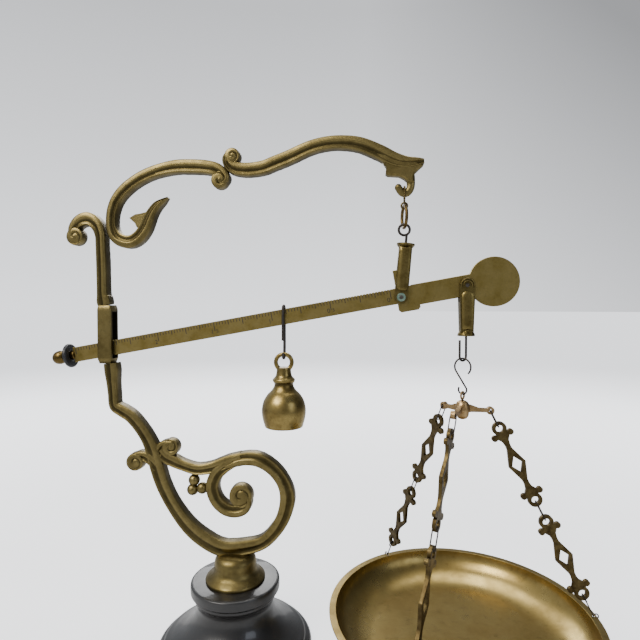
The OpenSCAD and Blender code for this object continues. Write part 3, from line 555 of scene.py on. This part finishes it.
# The guide's wear_and_shade: painted shade at its bottom and top edges and painted highlight on the
# two mouldings, along with tarnish and rubbing.
guide = piece("beam_guide_block", [block_part], cast_brass, "stand", "cast_brass",
              ["beam_guide"], wear_and_shade=[np.r_[np.repeat([0.1, 0.2, 0.8, 0.5, 0.5, 0.8, 0.7, 0.1], 16),
                                          0.3, 0.3]])
slot_half_w = 4.7
slot_sill, slot_lintel = 5, 7
tool_rows = np.array([squared(guide_half_w + 3, slot_half_w, 0.4, guide_z + z)
                      for z in (slot_sill, guide_h - slot_lintel)])
tool_points, tool_faces = skin((tool_rows + [post_x, 0, 0]) * MM)
tool_mesh = bpy.data.meshes.new("slot_tool")
tool_mesh.from_pydata(tool_points.tolist(), [], tool_faces)
tool = bpy.data.objects.new("slot_tool", tool_mesh)
bpy.context.scene.collection.objects.link(tool)
cut = guide.modifiers.new("slot", "BOOLEAN")
cut.object = tool
cut.operation = "DIFFERENCE"
cut.solver = "EXACT"
bpy.context.view_layer.update()
slotted = bpy.data.meshes.new_from_object(
    guide.evaluated_get(bpy.context.evaluated_depsgraph_get()))
guide.modifiers.clear()
guide.data = slotted
bpy.data.objects.remove(tool)

arm_place = (post_x, arm_z)
post = [[-1.8, 0.1, 11.5], [-2.2, 2.5, 13], [-2.8, 7, 12.6], [-3.6, 14, 10], [-4, 45, 10],
        [-4.6, 62, 9.5], [-5, 72, 10], [-8, 81, 11.5], [-14, 87.3, 12.5], [-21, 89, 13],
        [-28.5, 86, 11.5], [-34, 79.5, 9], [-34.5, 73, 7], [-31, 70, 5]]
arm = [[66.5, 109.5, 1], [61, 105.5, 4.5], [55, 101, 7], [49.5, 93.5, 9], [46, 86, 10.5],
       [42, 77.5, 11.5], [35.5, 69.5, 12], [27, 65, 12.3], [18, 66.2, 12.3], [11, 71, 11.5],
       [7.3, 79, 9.8], [6.8, 88, 9.5], [8.2, 97.5, 9.8], [12.5, 108, 10], [20.5, 117.5, 10.5],
       [31, 125.5, 10.5], [43, 132, 10.8], [57, 136.7, 11.3], [75, 140, 12.5], [91, 140, 13],
       [107, 138.8, 12.8], [119, 135.6, 12], [126, 129, 9.5], [125, 124, 7], [121, 123, 5]]
far_arm = [[134, 151, 5], [130.5, 149.5, 7], [128.6, 146, 9], [131, 140.5, 10.5],
           [137, 136.8, 12], [150, 135.3, 12.5], [165, 137, 12.5], [176, 141, 12.5],
           [191, 146.5, 12.5], [211, 155, 12], [228, 159, 12], [245, 159.5, 12.3], [262, 156.7, 13],
           [280, 149, 13.5], [294, 141.6, 13], [306, 138.5, 10.5], [316, 138.6, 7.5],
           [323, 139.4, 3.5]]
claw = np.array([[29.2, 88.6], [33.5, 91], [38, 91.6], [44.5, 93], [46, 84], [38, 78],
                 [35.5, 81], [34, 84.4]])
bracket = np.array([[276, 148], [284, 138], [286.6, 134], [286, 127.5], [288, 126], [299, 125],
                    [304, 122.5], [309, 118], [314, 119], [313.6, 124], [314.4, 128],
                    [318, 131.4], [322.5, 135.5], [312, 141], [298, 144]])
hook_x = JOINT["hanger_swing"]["pos_m"][0] / MM
seat_h = 6.22  # the hanger's pivot above the lowest point of the hook's centre line
hook_z = JOINT["hanger_swing"]["pos_m"][2] / MM - seat_h
hook_place = (hook_x + 0.9, hook_z)
hook_bar = [[-6.2, 4.4, 6.6], [-3.3, 0.9, 7], [-0.5, -0.1, 7], [2.2, 1, 7], [4.6, 4.4, 7],
            [5.2, 10, 7.6], [3.2, 19, 10], [-4, 29, 13]]
hook_d = 6.0


def on_arm(x, y, z):
    """Casting coordinates in mm to the frame."""
    x, y, z = np.broadcast_arrays(*(np.asarray(v, float) for v in (x, y, z)))
    return np.stack([arm_place[0] + x, y, arm_place[1] + z], -1) * MM


claw_part = plate(claw, cast_d * 0.36, 1.6, on_arm)
bracket_part = plate(bracket, cast_d * 0.4, 1.8, on_arm)
bits = [strap(post, arm_place, cast_d, hand=-1), strap(arm, arm_place, cast_d, hand=1),
        strap(far_arm, arm_place, cast_d, hand=1),
        strap(hook_bar, hook_place, hook_d, section=ROUND, ragged=0),
        scroll_eye((-32, 71), 9.2, cast_d, arm_place, hand=-1),
        scroll_eye((134, 149), 8, cast_d, arm_place, hand=-1),
        scroll_eye((121, 125.5), 8.8, cast_d, arm_place),
        (claw_part, np.full(len(claw_part[0]), 0.6)),
        (bracket_part, np.full(len(bracket_part[0]), 0.55))]
hook_tip = ball((-6.8, 5.6), 3.6, hook_place)
bits.append((hook_tip, np.full(len(hook_tip[0]), 0.6)))
cast("scroll_arm_casting", bits, "cast_brass", ["scroll_arm"])


# ---- hanger ----
# Two strands of brass wire twisted into a long loop over the stand's hook, with a small eye under
# it that carries a brass ring.
# Drawn brass wire twisted by hand: brown with age, and lighter in patches along the strands.
twist_brass = metal("twisted_brass_wire", "#70613d", "#483c21", "#18140b", 0.4, 3, 0.4, 0.02)
# Drawn brass rod bent to a ring: smoother than the castings, warm and brown where it is stained.
ring_brass = metal("drawn_brass_ring", "#75623b", "#524125", "#221a0e", 0.34, 5, 0.5, 0.03)


def tube(path, radius, flat=(1, 0, 0), sides=14, closed=False, squash=1.0):
    """A round bar along path: point = path + r (cos a * flat' + sin a * (t x flat')), where t is
    the path's direction and flat' is flat made square to it. squash widens it along flat'."""
    path = np.asarray(path, float)
    if closed:
        along = np.roll(path, -1, 0) - np.roll(path, 1, 0)
    else:
        along = np.gradient(path, axis=0)
    along /= np.linalg.norm(along, axis=1)[:, None]
    first = np.asarray(flat, float) - along * (along @ np.asarray(flat, float))[:, None]
    first /= np.linalg.norm(first, axis=1)[:, None]
    second = np.cross(along, first)
    a = np.arange(sides) * 2 * np.pi / sides
    r = np.broadcast_to(np.asarray(radius, float).reshape(-1, 1), (len(path), 1))
    rings = (path[:, None] + (r * squash * np.cos(a))[..., None] * first[:, None]
             + (r * np.sin(a))[..., None] * second[:, None])
    return skin(rings, closed)


def racetrack(r, top, low, n):
    """A closed track in the Y-Z plane: half circles of radius r about top and low, joined by
    straight sides; n points evenly spaced by length."""
    length = 2 * np.pi * r + 2 * (top - low)
    s = np.arange(n) * length / n
    arc, side = np.pi * r, top - low
    a = s / r
    y = np.where(s < arc, r * np.cos(a), np.where(s < arc + side, -r, 0))
    z = np.where(s < arc, top + r * np.sin(a), np.where(s < arc + side, top - (s - arc), 0))
    b = (s - arc - side) / r
    y = np.where((s >= arc + side) & (s < 2 * arc + side), -r * np.cos(b), y)
    z = np.where((s >= arc + side) & (s < 2 * arc + side), low - r * np.sin(b), z)
    y = np.where(s >= 2 * arc + side, r, y)
    z = np.where(s >= 2 * arc + side, low + (s - 2 * arc - side), z)
    return np.c_[0 * s, y, z], s, length


loop_low, loop_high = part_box("hanger_loop")
loop_wire = 1.0
wire_gap = 0.3  # space between rings that hang in each other
ring_bar = 1.6
ring_mid_r = 10.6
hook_half = 3.5
foot_rise = 0.8
loop_r = (loop_high[1] - loop_low[1]) / 2 / MM - loop_wire
loop_top = loop_high[2] / MM - loop_wire - loop_r
loop_foot = hook_z - hook_half - wire_gap + foot_rise
strand = 0.52
track, run, around_loop = racetrack(loop_r, loop_top, loop_foot, 220)
outward = np.gradient(track, axis=0)
outward = np.cross(outward, [1, 0, 0])
outward /= np.linalg.norm(outward, axis=1)[:, None]
twists = 10
parts = []
for start in (0, math.pi):
    phase = start + 2 * np.pi * twists * run / around_loop
    offset = 0.46 * (np.cos(phase)[:, None] * outward + np.sin(phase)[:, None] * [1, 0, 0])
    parts.append(tube((track + offset + [hook_x, 0, 0]) * MM, strand * MM, sides=10, closed=True))
eye_r = loop_wire + ring_bar + wire_gap
eye_z = JOINT["shackle_plumb"]["pos_m"][2] / MM + 2 * ring_mid_r
a = np.arange(40) * 2 * np.pi / 40
eye_ring = np.c_[hook_x + eye_r * np.cos(a), 0 * a, eye_z + eye_r * np.sin(a)]
parts.append(tube(eye_ring * MM, loop_wire * MM, flat=(0, 1, 0), closed=True))
neck = np.c_[np.full(4, hook_x), np.zeros(4), np.linspace(eye_z + eye_r, loop_foot - loop_r, 4)]
parts.append(tube(neck * MM, 1.05 * MM, flat=(0, 1, 0)))
piece("twisted_wire_loop", parts, twist_brass, "hanger", "twisted_wire", ["hanger_loop"])

ring_low, ring_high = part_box("hanger_ring")
ring_wire = (ring_high[0] - ring_low[0]) / 2
ring_r = (ring_high[2] - ring_low[2]) / 2 - ring_wire
ring_z = (ring_high[2] + ring_low[2]) / 2
a = np.arange(72) * 2 * np.pi / 72
skew = math.radians(8)  # how far the ring hangs turned from the plane across the beam
ring_path = np.c_[hook_x * MM - ring_r * np.cos(a) * math.sin(skew),
                  ring_r * np.cos(a) * math.cos(skew), ring_z + ring_r * np.sin(a)]
piece("brass_ring", [tube(ring_path, ring_wire, sides=18, closed=True)], ring_brass, "hanger",
      "ring_brass", ["hanger_ring"])


# ---- fulcrum shackle ----
# An iron eye riveted through a cast brass shackle, which straddles the beam and carries its
# fulcrum pin between two small washers, green with verdigris.
# Iron wire with a dark oxide skin: grey-black and half matt, with brown freckles.
iron_wire = metal("oxidised_iron_wire", "#4c4742", "#332f2c", "#1c1613", 0.46, 4, 0.35, 0.03,
                  metallic=0.85)
# Cast brass with its faces filed smooth: olive, with a soft shine and dark stained spots.
shackle_brass = metal("filed_cast_brass", "#7b6d41", "#564a28", "#1c170b", 0.34, 7, 0.5, 0.06)
# Brass washers green with verdigris: pale and powdery, with little of the metal's shine.
verdigris = metal("verdigris_on_brass", "#7f9488", "#50695c", "#26352d", 0.5, 2, 0.5, 0.05,
                  metallic=0.6)
fulcrum = np.array(JOINT["beam_tilt"]["pos_m"]) / MM
dress("iron_eye", "shackle_eye", iron_wire, "shackle", 0)
dress("fulcrum_shackle_casting", "fulcrum_shackle", shackle_brass, "shackle",
      0.6)


def crowned(stations, face_y, bulge, side, turn, pivot):
    """The rounded face of a shackle's cheek, from stations (height, half-width, crown share) below
    or above the pivot. y = side * (face_y + bulge * crown * (1 - (x/half-width)^4)), turned by turn
    degrees about Y at the pivot."""
    h, w, share = (np.asarray(stations, float)[:, i:i + 1] for i in range(3))
    u = np.linspace(-1, 1, 15)[None, :]
    x = np.hstack([w * u, w * [[0.97, -0.97]]])
    y = face_y + bulge * share * (1 - u ** 4)
    y = side * np.hstack([y, np.full((len(h), 2), face_y - 0.8)])
    z = h + 0 * x
    c, s = math.cos(math.radians(turn)), math.sin(math.radians(turn))
    return skin((np.stack([x * c + z * s, y, z * c - x * s], -1) + pivot) * MM)


cheek = -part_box("load_shackle")[0][1] / MM
sleeve = [[6.2, 2.2, 0.05], [7, 3.8, 0.6], [8.6, 5.2, 0.95], [11, 5.8, 1], [44, 5.8, 1],
          [47.6, 5.8, 1], [48.4, 5.6, 0.4]]
parts = [crowned(sleeve, cheek, 1.5, side, 5, fulcrum) for side in (-1, 1)]
piece("fulcrum_shackle_faces", parts, shackle_brass, "shackle", "shackle_brass", [])
dress("fulcrum_pin_steel", "fulcrum_pin", fixing_steel, "steelyard", 0.2)
dress("fulcrum_washer_pair", "fulcrum_washers", verdigris, "steelyard", 0.25)


# ---- beam ----
# One bar of rolled yellow brass, filed bright along its length, with a notch every 25 grams along
# its top edge, engraved lines and punched figures on the front, and a disc beyond the load pin.
slide_axis = JOINT["poise_slide"]["axis"]
beam_angle = math.degrees(math.atan2(slide_axis[2], slide_axis[0]))
# Rolled brass bar filed along its length: golden olive, with fine scratches drawn out lengthwise.
beam_brass = metal("rolled_brass_bar", "#9c8a54", "#776837", "#3d3419", 0.33, 14, 0.5, 0.05,
                   stretch=(0.06, 1, 1), tilt=beam_angle, spots=0.25)
beam_x = np.array([math.cos(math.radians(beam_angle)), 0, math.sin(math.radians(beam_angle))])
beam_up = np.array([-beam_x[2], 0, beam_x[0]])


def on_beam(x, y, up):
    """Beam coordinates in mm, from the fulcrum along the beam, back and up, to the frame."""
    x, y, up = np.broadcast_arrays(*(np.asarray(v, float) for v in (x, y, up)))
    return (fulcrum + x[..., None] * beam_x + y[..., None] * [0, 1, 0]
            + up[..., None] * beam_up) * MM


bar_len, bar_low, bar_top, beam_t = 343.0, -6.0, 9.5, 5.0
short_half, load_arm = 10.3, 64.0
disc_at, disc_drop, disc_r = load_arm + 26, -1.0, 24.0
zero_at, notch_pitch, notch_deep = 9.6, 3.0, 0.75
notches = zero_at + notch_pitch * np.arange(112)
notches = notches[notches < bar_len - 1.5]
tooth = np.array([[0.45, 0.0], [0.1, -notch_deep], [-0.1, -notch_deep], [-0.45, 0.0]])
edge = (np.c_[-notches, np.full(len(notches), bar_top)][:, None] + tooth).reshape(-1, 2)


def meets_disc(up):
    """The angle about the disc's centre where the bar's edge at height up meets the rim:
    atan2(h, -sqrt(r^2 - h^2)), with h the edge's height above that centre."""
    h = up - disc_drop
    return math.atan2(h, -math.sqrt(disc_r ** 2 - h ** 2))


a = np.linspace(meets_disc(-short_half), meets_disc(short_half), 72)
rim = np.c_[disc_at + disc_r * np.cos(a), disc_drop + disc_r * np.sin(a)]
outline = np.vstack([
    [[-bar_len, bar_low], [-4, bar_low], [-4, -12.6], [-1.8, -14.8], [14.8, -14.8], [17, -12.6],
     [17, -short_half]], rim,
    [[12, short_half], [9, bar_top], [3.6, bar_top], [3.6, 27], [-3.4, 27], [-3.4, bar_top]],
    edge, [[-bar_len, bar_top]]])
piece("graduated_beam", [plate(outline, beam_t / 2, 0.3, on_beam)], beam_brass, "steelyard",
      "beam_brass", ["beam"], sharp=25)

# Engraved lines, drawn as matt near-black strips: painted shade standing for the dark inside the
# cuts.
# Short at every notch, longer at 5, 10 and 20, so that the lines read against the brass.
engraving_shade = metal("painted_shade_in_engraving", "#2a2210", "#1d170b", "#120e07", 0.6, 2, 0.4, 0.0,
            metallic=0.0)
parts = []
for i, at in enumerate(notches):
    reach = 9.6 if i % 20 == 0 else 7.4 if i % 10 == 0 else 5.4 if i % 5 == 0 else 4.1
    half = 0.4 if i % 5 == 0 else 0.34
    u = np.array([-half, half, half, -half]) - at
    v = bar_top - np.array([reach, reach, notch_deep, notch_deep])
    front = on_beam(u, -beam_t / 2 - 0.03, v)
    back = on_beam(u, -beam_t / 2 + 0.12, v)
    parts.append(skin(np.array([front, back])))
piece("engraved_lines", parts, engraving_shade, "steelyard", "beam_brass", [])


def figure(text, at, up, height):
    """A punched figure, as thin raised strokes of the same near-black, painted shade in the punch
    marks: its letter height is height mm.
    """
    curve = bpy.data.curves.new("figure", "FONT")
    curve.body = text
    curve.size = height / 0.72
    curve.extrude = 0.08
    curve.align_x = "CENTER"
    holder = bpy.data.objects.new("figure", curve)
    bpy.context.scene.collection.objects.link(holder)
    bpy.context.view_layer.update()
    mesh = bpy.data.meshes.new_from_object(
        holder.evaluated_get(bpy.context.evaluated_depsgraph_get()))
    co = np.zeros(len(mesh.vertices) * 3)
    mesh.vertices.foreach_get("co", co)
    co = co.reshape(-1, 3)
    faces = [list(p.vertices) for p in mesh.polygons]
    bpy.data.objects.remove(holder)
    bpy.data.curves.remove(curve)
    return on_beam(at + co[:, 0], -beam_t / 2 + 0.02 - co[:, 2], up + co[:, 1]), faces


figures = []
for half_kilos in range(6):
    at = -(zero_at + 60 * half_kilos)
    figures.append(figure(str(half_kilos // 2), at - 2.6, -2.4, 4.4))
    if half_kilos % 2:
        figures.append(figure("5", at + 2.4, -2.0, 3.6))
piece("punched_figures", figures, engraving_shade, "steelyard", "beam_brass", [])
dress("load_pin_steel", "load_pin", fixing_steel, "steelyard", 0.2)

# The bar's end carries a turned ball knob, screwed in, and a loose ring of hard black rubber that
# stops the poise from running off.
# Turned brass browned by fingers: dark, with a small sharp highlight.
knob_brass = metal("turned_knob_brass", "#725f36", "#4d3e21", "#1d160b", 0.28, 6, 0.6, 0.03)
# Hard rubber: black, with a dull gloss and grey worn spots.
rubber = metal("hard_black_rubber", "#1d1d20", "#121214", "#3a3a3e", 0.36, 5, 0.5, 0.03,
               metallic=0.0, spots=0.6)


def on_bar_end(points):
    """Turned round Z to stand on the bar's end, pointing along it."""
    middle = (bar_low + bar_top) / 2
    return on_beam(-bar_len - points[:, 2], points[:, 1], middle + points[:, 0])


knob_profile = smooth_profile([[0.01, -1], [4.4, -0.9], [4.4, 3], [4.4, 7.4], [4.9, 8.2],
                               [5.6, 8.8], [5.5, 9.8], [4.6, 10.6], [5.6, 11.8], [6.8, 14.4],
                               [7, 17], [6.2, 20.4], [3.8, 23], [1.2, 23.9], [0.01, 24]], 5)
knob_points, knob_faces = revolve(knob_profile, 64)
piece("ball_knob", [(on_bar_end(knob_points), knob_faces)], knob_brass, "steelyard", "knob_brass",
      ["beam_end_knob"])
a = np.arange(20) * 2 * np.pi / 20
collar_profile = np.c_[8.55 + 3.95 * np.sign(np.cos(a)) * np.abs(np.cos(a)) ** 0.7,
                       4.9 + 2.3 * np.sign(np.sin(a)) * np.abs(np.sin(a)) ** 0.7]
collar_points, collar_faces = revolve(collar_profile, 72, closed=True)
piece("rubber_collar", [(on_bar_end(collar_points), collar_faces)], rubber, "steelyard",
      "black_collar", ["beam_collar"])


# ---- poise ----
# An iron wire hook rides on the beam's edge: its short leg ends blunt in front, and its long leg
# bends in to carry the poise, a turned and polished brass weight with a cast ring.
# Turned and polished brass: light gold with fine turning marks round it, and brown stains.
poise_brass = metal("turned_poise_brass", "#9b8853", "#6e5d34", "#271f10", 0.27, 12, 0.45, 0.03,
                    stretch=(0.15, 0.15, 1), spots=0.3)
hook_low, hook_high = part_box("poise_hook")
wire = (hook_high[0] - hook_low[0]) / 2 / MM
leg = hook_high[1] / MM - wire
poise_x = (hook_high[0] + hook_low[0]) / 2 / MM
hook_arc_z = hook_high[2] / MM - wire - leg
bend_r = 3.9
ring_top_z = JOINT["poise_swing"]["pos_m"][2] / MM + bend_r
a = np.linspace(0, np.pi, 17)
over = np.c_[-leg * np.cos(a), hook_arc_z + leg * np.sin(a)]
b = np.linspace(0, np.pi, 15)
through = np.c_[bend_r * np.cos(b), ring_top_z - bend_r * np.sin(b)]
shape = np.vstack([
    np.c_[np.full(12, -leg), np.linspace(ring_top_z + 14, hook_arc_z - 1, 12)], over,
    np.c_[np.full(12, leg), np.linspace(hook_arc_z - 1, ring_top_z + 9, 12)],
    [[leg - 0.2, ring_top_z + 6.5], [bend_r + 0.15, ring_top_z + 3]], through,
    [[-bend_r, ring_top_z + 1.8]]])
hook_path = np.c_[np.full(len(shape), poise_x), shape]
thick = np.full(len(shape), wire)
thick[-3:] = [wire * 0.97, wire * 0.9, wire * 0.7]
piece("poise_wire_hook", [tube(hook_path * MM, thick * MM, sides=16)], iron_wire, "slider",
      "iron_wire", ["poise_hook"])

poise_low, poise_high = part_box("poise")
poise_r = (poise_high[0] - poise_low[0]) / 2 / MM
poise_foot = poise_low[2] / MM
poise_ring_r, poise_ring_wire = 8.1, 2.1
poise_ring_z = poise_high[2] / MM - poise_ring_wire - poise_ring_r
poise_top = poise_ring_z - poise_ring_r + 3
tall = poise_top - poise_foot
drawn_tall = 60.5  # the profile's own height, stretched to the weight's
turned = smooth_profile(
    [[0.01, 0.02], [0.28, 0], [0.312, 1], [0.333, 5], [0.369, 8.5], [0.45, 10.8], [0.495, 11.8],
     [0.505, 12.8], [0.486, 14.4], [0.435, 16], [0.428, 17.2], [0.436, 18.5], [0.486, 21],
     [0.586, 23.9], [0.70, 26.3], [0.805, 29.3], [0.9, 33], [0.963, 37.3], [0.995, 41.5],
     [1, 44.5], [0.99, 47.5], [0.955, 52], [0.885, 57.6], [0.86, 59.2], [0.8, 60.1],
     [0.4, 60.45], [0.01, 60.5]], 5) * [poise_r, -tall / drawn_tall] + [0, poise_top]
weight_points, weight_faces = revolve(turned, 96)
weight_points = weight_points + [poise_x, 0, 0]
# The small casting dimple low on the left of the front.
dimple = np.array([poise_x - 7.5, -20, poise_foot + 15])
dimple_deep, dimple_r = 0.5, 1.7
away = np.linalg.norm(weight_points - dimple, axis=1)
weight_points[:, 1] += dimple_deep * np.exp(-(away / dimple_r) ** 2)
ring_turn = np.arange(60) * 2 * np.pi / 60
poise_ring = np.c_[poise_x + poise_ring_r * np.cos(ring_turn), 0 * ring_turn,
                   poise_ring_z + poise_ring_r * np.sin(ring_turn)]
swell = poise_ring_wire * (1 + 0.25 * np.clip(-np.sin(ring_turn), 0, 1) ** 3)
# Painted shade in the neck under the top bead and on the bottom face, and painted highlight on the
# bead and the lower rim, along with tarnish and rubbing.
height = np.clip((poise_top - weight_points[:, 2]) / tall, 0, 1)
weight_wear_and_shade = np.interp(height, [0, 0.15, 0.2, 0.26, 0.3, 0.4, 0.9, 0.97, 1],
                        [0.4, 0.35, 0.9, 0.1, 0.3, 0.6, 0.6, 0.8, 0.2])
ring_part = tube(poise_ring * MM, swell * MM, flat=(0, 1, 0), sides=18, closed=True)
piece("poise_weight", [(weight_points * MM, weight_faces), ring_part], poise_brass, "weight",
      "poise_brass", ["poise"], wear_and_shade=[weight_wear_and_shade, np.full(len(ring_part[0]), 0.5)])


# ---- load side ----
# A cast brass shackle hangs from the load pin. A wire hook turns in its foot, and a thin S hook
# links it to the spider's eye.
dress("load_shackle_casting", "load_shackle", shackle_brass, "load_link", 1.5)
load_at = np.array(JOINT["load_plumb"]["pos_m"]) / MM
parts = []
for arc_r, arc_wire in ((6.4, 0.7), (4.1, 0.55)):
    a = np.radians(np.linspace(-12, 192, 28))
    arc = np.c_[arc_r * np.cos(a), np.full(28, 0.1), arc_r * np.sin(a)]
    parts.append(tube((arc + [load_at[0], -cheek + 0.1, load_at[2]]) * MM, arc_wire * MM,
                      flat=(0, 1, 0), sides=10))
strap_face = [[-6, 2.4, 0.05], [-7, 4.2, 0.6], [-9, 5.6, 0.95], [-12, 6, 1], [-38, 5.3, 1],
              [-41.5, 5.2, 0.9], [-42.6, 4.6, 0.1]]
for side in (-1, 1):
    parts.append(crowned(strap_face, cheek, 1.1, side, 0, load_at))
foot_arch = np.radians(np.linspace(0, 180, 15))
arch = np.c_[3.4 * np.cos(foot_arch), np.full(15, -cheek - 1.1), 3 * np.sin(foot_arch) - 46.6]
parts.append(tube((arch + load_at) * MM, 0.6 * MM, flat=(0, 1, 0), sides=10))
piece("load_shackle_faces", parts, shackle_brass, "load_link", "shackle_brass", [])
dress("load_wire_hook", "load_hook", iron_wire, "load_wire", 0)
dress("s_wire_hook", "s_hook", iron_wire, "s_link", 0)


# ---- spider, chains and pan ----
# A pale cast spider spreads three chains of flat cast links, joined by iron wire loops, to holes
# in the rim of a spun brass pan.
# Pale brass casting: the lightest and pinkest metal here, with dark specks.
spider_brass = metal("pale_cast_brass", "#b0946a", "#846b46", "#342817", 0.33, 5, 0.5, 0.05)
# The links' unpolished cast brass: dark brown and rather dull.
chain_brass = metal("brown_cast_brass", "#635535", "#3e321d", "#151109", 0.38, 6, 0.6, 0.08)
# Sheet brass spun over a former: golden and smooth, with broad soft clouds of tarnish.
pan_brass = metal("spun_sheet_brass", "#a59058", "#7b683a", "#382e17", 0.27, 40, 0.6, 0.02,
                  spots=0.3)
dress("spider_casting", "spider", spider_brass, "pan_set", 0.5)
dress("spider_wire_eye", "spider_eye", spider_brass, "pan_set", 0)
for k in (1, 2, 3):
    for row in ("upper", "lower"):
        dress(f"{row}_cast_link_{k}", f"{row}_link_{k}", chain_brass, "pan_set",
              0.55)
    for row in ("top", "middle", "rim"):
        dress(f"{row}_wire_loop_{k}", f"{row}_wire_{k}", iron_wire, "pan_set", 0)
dress("spun_pan", "pan", pan_brass, "pan_set", 0.2)
